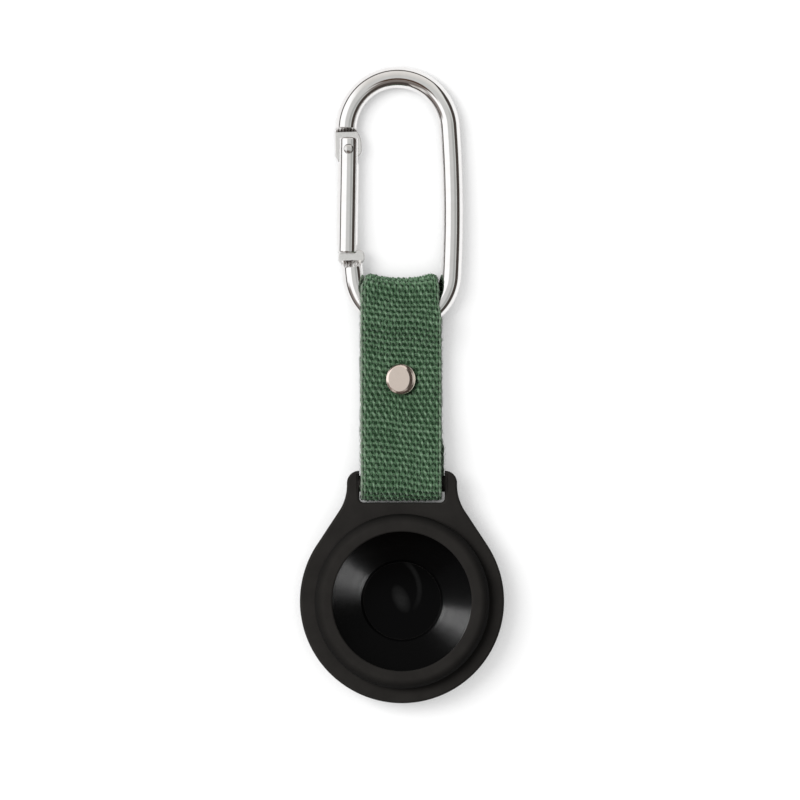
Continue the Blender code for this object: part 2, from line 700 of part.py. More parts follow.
def gate_profile():
    """Gate tube about its own Z, which points to the hinge: a blind bore from the top and rounded ends."""
    edge = GATE_EDGE_ROUND
    shoulder = WIRE_RADIUS - edge
    top = arc((shoulder, GATE_TOP - edge), edge, math.radians(90), 0, 3)
    bottom = arc((shoulder, edge - GATE_LENGTH), edge, 0, math.radians(-90), 3)
    return [
        (0, -GATE_BORE_DEPTH),
        (GATE_BORE_RADIUS, -GATE_BORE_DEPTH),
        (GATE_BORE_RADIUS, GATE_TOP),
        *top,
        *bottom,
        (0, -GATE_LENGTH),
    ]


def build_gate(hinge, chrome):
    """Gate tube with a slot at each end and a hole for the pin."""
    along = (math.radians(-90), 0, 0)
    gate = turned("gate_tube", gate_profile(), hinge, rotation=along)
    slot = TONGUE_THICKNESS + 2 * GATE_SLOT_GAP
    width = 2 * WIRE_RADIUS + OVERRUN
    hinge_slot = GATE_TOP + HINGE_SLOT_DEPTH + OVERRUN
    hinge_middle = (0, GATE_TOP + OVERRUN - hinge_slot / 2, 0)
    combine(gate, block("gate_hinge_slot", (width, hinge_slot, slot), hinge, hinge_middle), "DIFFERENCE")
    nose_slot = NOSE_SLOT_DEPTH + OVERRUN
    nose_middle = (0, NOSE_SLOT_DEPTH - GATE_LENGTH - nose_slot / 2, 0)
    combine(gate, block("gate_nose_slot", (width, nose_slot, slot), hinge, nose_middle), "DIFFERENCE")
    hole = cylinder("gate_pin_hole", PIN_RADIUS + PIN_HOLE_GAP, 2 * WIRE_RADIUS + OVERRUN, hinge)
    combine(gate, hole, "DIFFERENCE")
    finish(gate, chrome)


def build_pin(hinge, steel):
    """Plain pin through the gate and the tongue, with both ends domed."""
    top = WIRE_RADIUS + PIN_PROUD
    half = [(PIN_RADIUS * share, top - PIN_DOME * share ** 3) for share in PIN_DOME_SHARES]
    profile = half + [(radius, -height) for radius, height in reversed(half)]
    finish(turned("gate_pin", profile, hinge), steel)


def plunger_top():
    """Distance from the pin to the plunger's face, just clear of the cam."""
    return CAM_RADIUS + CAM_DROP + PLUNGER_GAP


def build_plunger(hinge, steel):
    """Headed plunger that stands in the spring and presses on the tongue."""
    radius = GATE_BORE_RADIUS - PLUNGER_SIDE_GAP
    profile = [
        (0, 0),
        (radius, 0),
        (radius, -PLUNGER_HEAD),
        (PLUNGER_STEM_RADIUS, -PLUNGER_HEAD),
        (PLUNGER_STEM_RADIUS, -PLUNGER_HEAD - PLUNGER_STEM_LENGTH),
        (0, -PLUNGER_HEAD - PLUNGER_STEM_LENGTH),
    ]
    place = (0, -plunger_top(), 0)
    along = (math.radians(-90), 0, 0)
    finish(turned("spring_plunger", profile, hinge, place, along, SMALL_SEGMENTS // 2), steel)


def spring_gap(points):
    """Least gap between two turns of the spring, measured on its points."""
    pairs = [
        (Vector(points[first]) - Vector(points[second])).length
        for first in range(len(points))
        for second in range(first + SPRING_TURN_POINTS // 2 + 1, len(points))
    ]
    return min(pairs) - 2 * SPRING_WIRE_RADIUS


def build_spring(hinge, steel):
    """Coil spring between the plunger's head and the bottom of the gate's bore."""
    radius = GATE_BORE_RADIUS - SPRING_SIDE_GAP - SPRING_WIRE_RADIUS
    top = -plunger_top() - PLUNGER_HEAD - SPRING_SEAT_GAP - SPRING_WIRE_RADIUS
    bottom = -GATE_BORE_DEPTH + SPRING_SEAT_GAP + SPRING_WIRE_RADIUS
    count = SPRING_TURNS * SPRING_TURN_POINTS
    points = []
    for index in range(count + 1):
        angle = 2 * math.pi * index / SPRING_TURN_POINTS
        height = top + (bottom - top) * index / count
        points.append((radius * math.cos(angle), height, radius * math.sin(angle)))
    gap = spring_gap(points)
    verdict = "wide enough" if gap > LEAST_SPRING_GAP else "too narrow"
    print(f"gate spring: least gap between turns {gap * 1000:.2f} mm, {verdict}")
    finish(tube("gate_spring", points, SPRING_WIRE_RADIUS, hinge, 1), steel)


def main():
    """Builds the holder, the strap on its bar, the carabiner in the strap and the gate on its pin."""
    rubber = new_material("matt_black_rubber", (0.028, 0.028, 0.030), 0.55, 0.0)
    webbing = new_material("green_webbing", (0.040, 0.105, 0.058), 0.9, 0.0)
    nickel = new_material("nickel", (0.62, 0.57, 0.52), 0.25, 1.0)
    chrome = new_material("chrome", (0.80, 0.80, 0.80), 0.10, 1.0)
    steel = new_material("steel", (0.60, 0.60, 0.60), 0.30, 1.0)
    root = new_empty("holder_centre", (0, HOLDER_PLACE, 0))
    build_holder(root, rubber)
    strap_hinge = new_empty("strap_hinge", (0, BAR_REACH, HOLDER_MIDDLE), root)
    strap_hinge.rotation_euler = (-STRAP_SLOPE, 0, 0)
    build_strap(strap_hinge, webbing)
    build_rivet(strap_hinge, nickel)
    swing_place = (0, BAR_REACH + WIRE_REACH * math.cos(STRAP_SLOPE), SWING_HEIGHT)
    swing = new_empty("carabiner_hinge", swing_place, root)
    swing.rotation_euler = (-CARABINER_SLOPE, 0, 0)
    centre = new_empty("bend_centre", (0, SWING_DROP, 0), swing)
    centre.rotation_euler = (0, 0, math.radians(CARABINER_LEAN))
    build_frame(centre, chrome)
    gate_hinge = new_empty("gate_hinge", pin_place(), centre)
    gate_hinge.rotation_euler = (0, 0, -math.radians(GATE_LEAN))
    build_gate(gate_hinge, chrome)
    build_pin(gate_hinge, steel)
    build_plunger(gate_hinge, steel)
    build_spring(gate_hinge, steel)


clear_scene()
PARTS = new_collection("tracker_clip")
TOOLS = new_collection("cutters")
main()
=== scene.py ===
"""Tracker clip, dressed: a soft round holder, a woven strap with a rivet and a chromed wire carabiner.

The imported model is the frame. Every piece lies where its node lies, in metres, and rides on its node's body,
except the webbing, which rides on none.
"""

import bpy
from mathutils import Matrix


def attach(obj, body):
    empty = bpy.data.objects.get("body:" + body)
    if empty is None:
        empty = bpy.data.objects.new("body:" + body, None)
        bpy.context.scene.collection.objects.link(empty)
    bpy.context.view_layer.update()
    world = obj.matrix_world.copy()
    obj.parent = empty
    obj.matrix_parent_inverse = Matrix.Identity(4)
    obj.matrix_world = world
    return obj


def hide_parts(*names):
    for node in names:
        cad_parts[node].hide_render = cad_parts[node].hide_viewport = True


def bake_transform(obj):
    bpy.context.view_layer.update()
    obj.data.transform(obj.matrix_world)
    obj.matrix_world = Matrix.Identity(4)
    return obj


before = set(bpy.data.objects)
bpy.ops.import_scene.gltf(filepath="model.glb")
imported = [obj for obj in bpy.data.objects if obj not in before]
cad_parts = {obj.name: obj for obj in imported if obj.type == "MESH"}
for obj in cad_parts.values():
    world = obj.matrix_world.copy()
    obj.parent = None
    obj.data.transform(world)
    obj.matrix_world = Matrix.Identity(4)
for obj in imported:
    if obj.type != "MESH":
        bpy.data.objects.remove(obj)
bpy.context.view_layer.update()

import logging
import math
from dataclasses import dataclass
from enum import Enum
from typing import Any, Callable, Mapping, Optional, Sequence, Union

import bmesh
import bpy
import numpy as np
from mathutils import Matrix, Vector

LOG = logging.getLogger("tracker_clip")
MM = 0.001
QUARTER = math.pi / 2
Point = tuple[float, float]
Triple = tuple[float, float, float]
Window = tuple[float, float, float, float]
Number = Union["Value", float]
Inputs = Mapping[Union[str, int], Any]


class Join(Enum):
    """How one solid is combined with another."""

    ADD = "UNION"
    CUT = "DIFFERENCE"


class Side(Enum):
    """The two faces of the strap that a rivet cap can sit on."""

    FRONT = 1
    BACK = -1


# Materials from expressions

class Value:
    """A number socket of a recipe, whose arithmetic adds Math nodes."""

    def __init__(self, recipe: "Recipe", socket: bpy.types.NodeSocket) -> None:
        """Keeps the recipe and its output socket that gives the number."""
        self.recipe = recipe
        self.socket = socket

    def __add__(self, other: Number) -> "Value":
        """Sum."""
        return self.recipe.math("ADD", self, other)

    def __sub__(self, other: Number) -> "Value":
        """Difference."""
        return self.recipe.math("SUBTRACT", self, other)

    def __rsub__(self, other: Number) -> "Value":
        """Difference, the other way round."""
        return self.recipe.math("SUBTRACT", other, self)

    def __mul__(self, other: Number) -> "Value":
        """Product."""
        return self.recipe.math("MULTIPLY", self, other)

    def __truediv__(self, other: Number) -> "Value":
        """Quotient."""
        return self.recipe.math("DIVIDE", self, other)

    def __rtruediv__(self, other: Number) -> "Value":
        """Quotient, the other way round."""
        return self.recipe.math("DIVIDE", other, self)

    def __pow__(self, other: Number) -> "Value":
        """Power."""
        return self.recipe.math("POWER", self, other)

    def __rpow__(self, other: Number) -> "Value":
        """Power, the other way round."""
        return self.recipe.math("POWER", other, self)

    __radd__ = __add__
    __rmul__ = __mul__

    def sine(self) -> "Value":
        """Sine of the value in radians."""
        return self.recipe.math("SINE", self)

    def arcsine(self) -> "Value":
        """Angle in radians whose sine is the value."""
        return self.recipe.math("ARCSINE", self)

    def arc_tangent(self, other: Number) -> "Value":
        """Angle in radians whose tangent is the value over another."""
        return self.recipe.math("ARCTAN2", self, other)

    def largest(self, other: Number) -> "Value":
        """The larger of two values."""
        return self.recipe.math("MAXIMUM", self, other)

    def clipped(self) -> "Value":
        """The value held between 0 and 1."""
        return self.recipe.math("MINIMUM", self.largest(0.0), 1.0)

    def span(self, low: float, high: float, start: float = 0.0, end: float = 1.0) -> "Value":
        """The value taken from one span to another, and held inside it."""
        return self.recipe.number("ShaderNodeMapRange", {0: self, 1: low, 2: high, 3: start, 4: end}, clamp=True)

    def inside(self, window: Window) -> "Value":
        """1 inside a window that rises between its first two numbers and falls between its last two."""
        return self.span(*window[:2]) * self.span(*window[2:], 1.0, 0.0)


class Recipe:
    """Nodes of one material or of the world."""

    def __init__(self, tree: bpy.types.NodeTree) -> None:
        """Empties the node tree that the recipe fills."""
        self.tree = tree
        tree.nodes.clear()

    def node(self, kind: str, values: Optional[Inputs] = None, **settings: Any) -> bpy.types.Node:
        """Adds one node.

        Args:
            kind: Type of the node.
            values: Value or link of each input, by name or number.
            **settings: Its settings, such as a Math node's operation, which are set first.

        Returns:
            The node.
        """
        made = self.tree.nodes.new(kind)
        for name, setting in settings.items():
            setattr(made, name, setting)
        for name, value in (values or {}).items():
            socket = made.inputs[name]
            if isinstance(value, Value):
                value = value.socket
            if isinstance(value, bpy.types.NodeSocket):
                self.tree.links.new(value, socket)
            else:
                socket.default_value = (*value[:3], 1.0) if socket.type == "RGBA" else value
        return made

    def number(
        self, kind: str, values: Optional[Inputs] = None, output: Union[str, int] = 0, **settings: Any
    ) -> Value:
        """Adds one node in the same way and takes the number that one of its outputs gives."""
        return Value(self, self.node(kind, values, **settings).outputs[output])

    def math(self, operation: str, *values: Number) -> Value:
        """Values through one Math node."""
        return self.number("ShaderNodeMath", dict(enumerate(values)), operation=operation)

    def attribute(self, label: str) -> Value:
        """A number that the mesh holds at its points."""
        return self.number("ShaderNodeAttribute", output="Fac", attribute_name=label)

    def place(self) -> bpy.types.NodeSocket:
        """Place on the piece in metres, in the row frame at rest."""
        return self.node("ShaderNodeTexCoord").outputs["Object"]

    def parts(self, vector: bpy.types.NodeSocket) -> tuple[Value, Value, Value]:
        """The three numbers of a vector."""
        made = self.node("ShaderNodeSeparateXYZ", {0: vector})
        return Value(self, made.outputs[0]), Value(self, made.outputs[1]), Value(self, made.outputs[2])

    def around(self, centre: Point) -> tuple[Value, Value, Value]:
        """Place on the piece from a centre: to the right, up the photograph, and height."""
        x, y, z = self.parts(self.place())
        return x - centre[0], y - centre[1], z

    def noise(self, size: float, detail: float = 2.0, stretch: Triple = (1.0, 1.0, 1.0)) -> Value:
        """Cloudy pattern fixed to the piece.

        Args:
            size: Size of its patches in metres.
            detail: Number of finer layers.
            stretch: How much finer it is along each axis.

        Returns:
            A number around 0.5.
        """
        scaled = self.node("ShaderNodeVectorMath", {0: self.place(), 1: stretch}, operation="MULTIPLY")
        values = {"Vector": scaled.outputs[0], "Scale": 1 / size, "Detail": detail, "Roughness": 0.6}
        return self.number("ShaderNodeTexNoise", values)

    def turned_noise(self, radius: Value, size: float, detail: float) -> Value:
        """Uneven rings of a turned piece, which gives a number around 0.5."""
        values = {"W": radius, "Scale": 1 / size, "Detail": detail}
        return self.number("ShaderNodeTexNoise", values, noise_dimensions="1D")

    def blend(self, share: Number, first: Any, second: Any) -> bpy.types.NodeSocket:
        """Mix of two colours by the share of the second."""
        return self.node("ShaderNodeMix", {0: share, 6: first, 7: second}, data_type="RGBA").outputs[2]

    def relief(self, height: Number, depth: float) -> bpy.types.NodeSocket:
        """Normal of a fine relief whose height runs from 0 to 1 over its depth in metres."""
        return self.node("ShaderNodeBump", {"Strength": 1.0, "Distance": depth, "Height": height}).outputs[0]

    def seen(self) -> Value:
        """Tells what is looked at from light that falls.

        Returns:
            1 for a look of the camera, of a reflection or through a piece, and 0 for other light.
        """
        path = self.node("ShaderNodeLightPath")
        camera, glossy, through = (
            Value(self, path.outputs[f"Is {ray} Ray"]) for ray in ("Camera", "Glossy", "Transmission")
        )
        return camera.largest(glossy).largest(through)

    def end(self, kind: str, values: Inputs, output: str = "ShaderNodeOutputMaterial") -> None:
        """Ends the recipe with a shader of these inputs and with the output."""
        self.node(output, {"Surface": self.node(kind, values).outputs[0]})

    def surface(self, values: Inputs) -> None:
        """Ends a material with a Principled shader of these inputs."""
        self.end("ShaderNodeBsdfPrincipled", values)


def hypotenuse(x: Value, y: Value) -> Value:
    """Length of the two sides' diagonal."""
    return (x * x + y * y) ** 0.5


class Finish:
    """Base of the finishes, each of which is one material."""

    title: str

    def mix(self, recipe: Recipe) -> None:
        """Fills the recipe of the material."""
        raise NotImplementedError

    def make(self) -> bpy.types.Material:
        """Makes the material.

        Returns:
            The material.
        """
        material = bpy.data.materials.new(self.title)
        material.use_nodes = True
        self.mix(Recipe(material.node_tree))
        return material


@dataclass(frozen=True)
class MouldedRubber(Finish):
    """Matt black moulded rubber with a fine grain, and painted shade that darkens the flank of the ring all
    round.
    """

    title = "moulded_rubber"
    centre: Point
    flank: Point = (15.5 * MM, 17.0 * MM)
    flank_foot: Point = (7.05 * MM, 7.25 * MM)
    flank_shade_share: float = 0.70
    flank_shade_colour: Triple = (0.0010, 0.0010, 0.0010)
    colour: Triple = (0.0195, 0.0182, 0.0170)
    worn_colour: Triple = (0.0245, 0.0228, 0.0212)
    grain: float = 0.16 * MM
    grain_depth: float = 0.012 * MM
    patch: float = 4.5 * MM
    roughness: float = 0.68

    def mix(self, recipe: Recipe) -> None:
        """Wears the colour in patches, and paints shade down the flank of the ring.

        Args:
            recipe: Recipe of the material.
        """
        grain = recipe.noise(self.grain, 3)
        patches = recipe.noise(self.patch, 4)
        x, y, z = recipe.around(self.centre)
        # Painted shade: the base colour darkens down the ring's flank, on every side.
        flank = hypotenuse(x, y).span(*self.flank) * z.span(*self.flank_foot)
        colour = recipe.blend(patches.span(0.35, 0.7), self.colour, self.worn_colour)
        recipe.surface({
            "Base Color": recipe.blend(flank * self.flank_shade_share, colour, self.flank_shade_colour),
            "Roughness": self.roughness + 0.10 * (patches - 0.5) + 0.06 * (grain - 0.5),
            "Specular IOR Level": 0.05,
            "Normal": recipe.relief(grain, self.grain_depth),
        })


@dataclass(frozen=True)
class TurnedCone(Finish):
    """Glossy black cone of the pocket floor, with the fine rings of a turned mould."""

    title = "turned_cone"
    centre: Point
    colour: Triple = (0.0010, 0.0010, 0.0011)
    ring: float = 0.22 * MM
    ring_depth: float = 0.022 * MM
    even_share: float = 0.15
    dust: float = 1.4 * MM
    roughness: float = 0.21

    def mix(self, recipe: Recipe) -> None:
        """Turns fine rings into the surface.

        Args:
            recipe: Recipe of the material.
        """
        x, y, _ = recipe.around(self.centre)
        radius = hypotenuse(x, y)
        uneven = recipe.turned_noise(radius, self.ring, 3)
        even = (radius * (2 * math.pi / self.ring)).sine()
        rings = even * self.even_share + uneven * (1 - self.even_share)
        recipe.surface({
            "Base Color": self.colour,
            "Roughness": self.roughness + 0.08 * (recipe.noise(self.dust, 4) - 0.5),
            "Anisotropic": 1.0,
            "Anisotropic Rotation": 0.25,
            "Specular IOR Level": 0.06,
            "Normal": recipe.relief(rings, self.ring_depth),
        })


@dataclass(frozen=True)
class PolishedDish(Finish):
    """Smooth black dish in the middle of the pocket, with faint turning rings, a painted slanting highlight spot
    and a painted crescent of reflected light.
    """

    title = "polished_dish"
    centre: Point
    colour: Triple = (0.0017, 0.0017, 0.0018)
    # Colour of the painted highlight spot and of the painted crescent of reflected light.
    mark: Triple = (0.0175, 0.0175, 0.0175)
    ring: float = 0.9 * MM
    ring_depth: float = 0.004 * MM
    highlight_at: Point = (-0.20 * MM, 0.35 * MM)
    highlight_size: Point = (1.7 * MM, 3.1 * MM)
    highlight_lean: float = math.radians(24.0)
    highlight_share: float = 0.70
    crescent_at: Point = (-3.60 * MM, 2.0 * MM)
    crescent_radius: float = 7.05 * MM
    crescent_width: float = 0.60 * MM
    crescent_share: float = 0.42
    dust: float = 1.1 * MM
    roughness: float = 0.16

    def mix(self, recipe: Recipe) -> None:
        """Paints the pale highlight spot and the crescent of reflected light beside it into the base colour.

        Args:
            recipe: Recipe of the material.
        """
        x, y, _ = recipe.around(self.centre)
        uneven = recipe.turned_noise(hypotenuse(x, y), self.ring, 4)
        cosine, sine = math.cos(self.highlight_lean), math.sin(self.highlight_lean)
        right, up = x - self.highlight_at[0], y - self.highlight_at[1]
        wide = (right * cosine + up * sine) / self.highlight_size[0]
        tall = (up * cosine - right * sine) / self.highlight_size[1]
        spot = (wide * wide + tall * tall).span(0.1, 1, 1, 0)
        away = hypotenuse(x - self.crescent_at[0], y - self.crescent_at[1]) - self.crescent_radius
        crescent = (away * away / self.crescent_width ** 2).span(0, 1, 1, 0)
        crescent = crescent * (x / MM).span(0, 2) * (y / MM).span(-2, 1)
        dust = recipe.noise(self.dust, 4)
        # Painted reflection: the spot and the crescent are highlights in the base colour, broken up by the dust
        # noise.
        mark = (spot * self.highlight_share).largest(crescent * self.crescent_share)
        recipe.surface({
            "Base Color": recipe.blend((mark * (0.3 + dust * 1.4)).clipped(), self.colour, self.mark),
            "Roughness": self.roughness + 0.12 * (dust - 0.5),
            "Specular IOR Level": 0.04,
            "Normal": recipe.relief(uneven, self.ring_depth),
        })


@dataclass(frozen=True)
class WovenCotton(Finish):
    """Forest-green cotton yarn with twisted fibres, with painted light on its crowns, painted shade in its
    valleys and round the rivet, and a painted grey sheen on its edges.

    Fibres, tufts and shade make it uneven, and its height, its strands and a constant make its painted light and
    shade, in shares.
    """

    title = "woven_cotton"
    # Colours of the painted valley shade, the yarn, the painted light on the crowns and the painted grey sheen.
    valley_shade: Triple = (0.013, 0.038, 0.015)
    colour: Triple = (0.066, 0.138, 0.070)
    crown: Triple = (0.225, 0.345, 0.228)
    grey_sheen: Triple = (0.300, 0.330, 0.280)
    twist: float = 1.30 * MM
    plies: int = 3
    fibre: float = 0.11 * MM
    tuft: float = 0.36 * MM
    strand_depth: float = 0.05 * MM
    unevenness: Triple = (0.30, 0.95, 0.34)
    light_shares: Triple = (0.50, 0.18, 0.10)
    # Window of painted shade where the height is low, as in the valleys and round the rivet.
    crease_shade: Window = (0.06, 0.19, 0.15, 1.0)
    middle_light: float = 0.42

    def mix(self, recipe: Recipe) -> None:
        """Paints shade into the yarn's valleys and light onto its crowns.

        Args:
            recipe: Recipe of the material.
        """
        shade, height, grey_sheen = (recipe.attribute(label) for label in ("shade", "height", "grey_sheen"))
        along, around, _ = recipe.parts(recipe.node("ShaderNodeUVMap", uv_map="yarn").outputs[0])
        turns = along * (2 * math.pi / self.twist) - around * (2 * math.pi * self.plies)
        strands = turns.sine() * 0.5 + 0.5
        fibres = recipe.noise(self.fibre, 3)
        by_fibre, by_tuft, by_shade = self.unevenness
        tufts = recipe.noise(self.tuft, 2)
        uneven = (fibres - 0.5) * by_fibre + (tufts - 0.5) * by_tuft + (shade - 0.5) * by_shade
        by_height, by_strand, base = self.light_shares
        # Painted light and shade: the height lightens the crowns and darkens the valleys, and the strands
        # lighten and shade the twist.
        light = (height * by_height + strands * by_strand + base + uneven) * height.span(*self.crease_shade)
        light = light.clipped()
        dark = recipe.blend(light.span(0.0, self.middle_light), self.valley_shade, self.colour)
        face = recipe.blend(light.span(self.middle_light, 1.0), dark, self.crown)
        recipe.surface({
            # Painted grey sheen: the edge yarns and loose fibres go paler grey, standing for the light their
            # fibres catch.
            "Base Color": recipe.blend((grey_sheen * (fibres * 0.8 + 0.4)).clipped(), face, self.grey_sheen),
            "Roughness": 0.86 + 0.1 * (fibres - 0.5),
            "Specular IOR Level": 0.15,
            "Sheen Weight": 0.35,
            "Sheen Roughness": 0.5,
            "Sheen Tint": (0.75, 0.85, 0.76),
            "Normal": recipe.relief(strands * 0.6 + fibres * 0.4, self.strand_depth),
        })


@dataclass(frozen=True)
class PlatedMetal(Finish):
    """Bright plate over metal, with faint polishing marks and small dents."""

    title: str
    colour: Triple
    dull_colour: Triple
    roughness: float
    cloud: float = 2.2 * MM
    mark: float = 0.5 * MM
    mark_stretch: Triple = (6.0, 0.5, 6.0)
    mark_depth: float = 0.0006 * MM
    wave: float = 1.6 * MM
    wave_depth: float = 0.005 * MM
    dent: float = 0.35 * MM
    dent_depth: float = 0.0

    def mix(self, recipe: Recipe) -> None:
        """Dulls the plate in clouds, and marks and dents it.

        Args:
            recipe: Recipe of the material.
        """
        cloud = recipe.noise(self.cloud, 4)
        marks = recipe.noise(self.mark, 3, self.mark_stretch)
        dents = recipe.noise(self.dent, 1).span(0.70, 0.78)
        waves = recipe.noise(self.wave, 1)
        height = (marks * self.mark_depth + waves * self.wave_depth - dents * self.dent_depth) / MM
        recipe.surface({
            "Base Color": recipe.blend(cloud.span(0.3, 0.75), self.colour, self.dull_colour),
            "Metallic": 1.0,
            "Roughness": self.roughness + 0.05 * (cloud - 0.5) + 0.04 * (marks - 0.5),
            "Normal": recipe.relief(height, MM),
        })


@dataclass(frozen=True)
class PressedMetal(Finish):
    """Chromed metal that a press has left mottled, with a painted dark brown reflection where the mesh marks it.
    """

    title = "pressed_chrome"
    colour: Triple = (0.90, 0.89, 0.88)
    # Colour of the painted dark reflection.
    dark_reflection: Triple = (0.085, 0.060, 0.048)
    grain: float = 0.26 * MM
    grain_depth: float = 0.035 * MM
    roughness: float = 0.20

    def mix(self, recipe: Recipe) -> None:
        """Mottles the chrome and paints a dark brown reflection where the mesh marks it.

        Args:
            recipe: Recipe of the material.
        """
        mirrors_dark = recipe.attribute("dark_reflection")
        mottle = recipe.noise(self.grain, 3)
        # Painted reflection: the marked share goes dark brown, mottled.
        share = (mirrors_dark + (mottle - 0.5) * 0.5 * mirrors_dark).clipped()
        recipe.surface({
            "Base Color": recipe.blend(share, self.colour, self.dark_reflection),
            "Metallic": 1.0,
            "Roughness": self.roughness + 0.12 * (mottle - 0.5),
            "Normal": recipe.relief(mottle, self.grain_depth),
        })


@dataclass(frozen=True)
class PaleTable(Finish):
    """White table that shows as the backdrop and keeps the clip's shadow."""

    title = "pale_table"
    colour: Triple = (0.60, 0.60, 0.60)
    seen_colour: Triple = (1.26, 1.26, 1.26)
    glow: float = 0.68
    reach: float = 12 * MM
    free: Point = (0.22, 0.48)

    def mix(self, recipe: Recipe) -> None:
        """Adds to the lit table a glow that fades where the clip covers it.

        Args:
            recipe: Recipe of the material.
        """
        seen = recipe.seen()
        table = recipe.node("ShaderNodeBsdfDiffuse", {
            "Color": recipe.blend(seen, self.colour, self.seen_colour), "Roughness": 0.3,
        })
        around = recipe.number("ShaderNodeAmbientOcclusion", {"Distance": self.reach}, "AO", samples=3)
        light = recipe.blend(around.span(*self.free), (0.0, 0.0, 0.0), (1.0, 1.0, 1.0))
        glow = recipe.node("ShaderNodeEmission", {"Color": light, "Strength": 1.0})
        recipe.end("ShaderNodeMixShader", {0: seen * self.glow, 1: table.outputs[0], 2: glow.outputs[0]})


@dataclass(frozen=True)
class StudioWalls(Finish):
    """Walls and ceiling of the studio as polished metal shows them: white on the left, dark low on the right.

    Each area is two windows of degrees: across and along from straight above, or turn and rise.
    """

    title = "studio_walls"
    left: Triple = (1.22, 1.22, 1.22)
    right: Triple = (0.80, 0.82, 0.80)
    far_low: Triple = (0.88, 0.86, 0.83)
    far_high: Triple = (0.62, 0.61, 0.59)
    near: Triple = (0.66, 0.63, 0.60)
    ceiling: Triple = (0.66, 0.665, 0.655)
    grey_ceiling: Triple = (0.45, 0.46, 0.45)
    ceiling_area: tuple[Window, Window] = ((-20, -13, 40, 48), (-34, -24, 12, 28))
    dark: Triple = (0.066, 0.056, 0.050)
    dark_rise: Window = (1, 15, 5, 40)
    wide_turn: Window = (-112, -104, 38, 55)
    brown: Triple = (0.085, 0.050, 0.034)
    brown_area: tuple[Window, Window] = ((-26, -20, 8, 16), (-27, -23, -9, -5))
    shelf: Triple = (0.21, 0.185, 0.17)
    shelf_area: tuple[Window, Window] = ((-40, -30, 30, 40), (-58, -54, -27, -23))
    corner: Triple = (0.27, 0.24, 0.225)
    corner_area: tuple[Window, Window] = ((-176, -168, -138, -128), (-2, 2, 36, 46))

    def mix(self, recipe: Recipe) -> None:
        """Paints the walls by the direction from the clip.

        Args:
            recipe: Recipe of the material.
        """
        toward = recipe.node("ShaderNodeVectorMath", {0: recipe.place()}, operation="NORMALIZE")
        x, y, z = recipe.parts(toward.outputs[0])
        level = (x * x + y * y).largest(1e-6) ** 0.5
        to_right, to_far = x / level, y / level
        rise, turn, across, along = (
            angle * (180 / math.pi)
            for angle in (z.arcsine(), y.arc_tangent(x), x.arc_tangent(z), y.arc_tangent(z))
        )
        far = recipe.blend(rise.span(25, 80), self.far_low, self.far_high)
        lengthways = recipe.blend(to_far.span(-0.3, 0.3), self.near, far)
        sideways = recipe.blend(to_right.span(-0.35, 0.35), self.left, self.right)
        wall = recipe.blend((to_right * to_right).span(0.25, 0.60), lengthways, sideways)
        ceiling = recipe.blend(across.span(18, 28), self.ceiling, self.grey_ceiling)
        for (first, second), windows, colour in (
            ((across, along), self.ceiling_area, ceiling),
            ((across, along), self.brown_area, self.brown),
            ((across, along), self.shelf_area, self.shelf),
            ((turn, rise), self.corner_area, self.corner),
        ):
            wall = recipe.blend(first.inside(windows[0]) * second.inside(windows[1]), wall, colour)
        wide = turn.inside(self.wide_turn)
        low, high, wide_low, wide_high = self.dark_rise
        above = rise - (low + wide * (wide_low - low))
        below = rise - (high + wide * (wide_high - high))
        band = above.span(-1.5, 1.5) * below.span(-2.5, 2.5, 1, 0)
        recipe.end("ShaderNodeEmission", {"Color": recipe.blend(band, wall, self.dark), "Strength": 1.0})

    def make(self) -> bpy.types.Material:
        """Makes the material, which is no lamp.

        Returns:
            The material.
        """
        material = super().make()
        material.cycles.emission_sampling = "NONE"
        return material


# Making of meshes

@dataclass(frozen=True)
class Place:
    """Where a group of pieces lies: its origin, its slope down from it and its lean in its own plane."""

    origin: Triple
    slope: float = 0.0
    lean: float = 0.0

    def matrix(self) -> Matrix:
        """From the group's own space to the row frame."""
        tilt = Matrix.Rotation(-self.slope, 4, "X") @ Matrix.Rotation(self.lean, 4, "Z")
        return Matrix.Translation(self.origin) @ tilt


def arc(centre: Point, radius: float, start: float, end: float, step: float = 3.0) -> list[Point]:
    """Points along an arc, both ends included.

    Args:
        centre: Centre of the arc.
        radius: Radius of the arc.
        start: First angle in radians.
        end: Last angle in radians.
        step: Longest step in degrees.

    Returns:
        The points.
    """
    count = max(1, math.ceil(abs(math.degrees(end - start)) / step))
    angles = [start + (end - start) * index / count for index in range(count + 1)]
    return [(centre[0] + radius * math.cos(a), centre[1] + radius * math.sin(a)) for a in angles]


def circle(sides: int) -> tuple[np.ndarray, np.ndarray]:
    """Cosines and sines of even steps round a circle."""
    angles = np.arange(sides) * (2 * math.pi / sides)
    return np.cos(angles), np.sin(angles)


def sampled(rows: np.ndarray, at: np.ndarray, knots: Optional[np.ndarray] = None) -> np.ndarray:
    """Rows of numbers taken between their knots, which are 0, 1, 2 and so on if none are given."""
    knots = np.arange(len(rows)) if knots is None else knots
    return np.stack([np.interp(at, knots, column) for column in rows.T], -1)


def smooth_step(value: np.ndarray, low: float, high: float) -> np.ndarray:
    """Soft step from 0 at low to 1 at high."""
    share = np.clip((value - low) / (high - low), 0, 1)
    return share * share * (3 - 2 * share)


def unit(vectors: np.ndarray) -> np.ndarray:
    """Vectors at length 1."""
    return vectors / np.linalg.norm(vectors, axis=-1)[..., None]


def quads_between(rings: int, sides: int, first: int = 0) -> np.ndarray:
    """Faces of a tube of rings.

    Args:
        rings: Number of rings.
        sides: Number of points in each ring.
        first: Number of the first point.

    Returns:
        Point numbers, four to a face.
    """
    ring = np.arange(rings - 1)[:, None] * sides
    side = np.arange(sides)[None, :]
    following = (side + 1) % sides
    corners = [ring + side, ring + following, ring + sides + following, ring + sides + side]
    return np.stack(corners, -1).reshape(-1, 4) + first


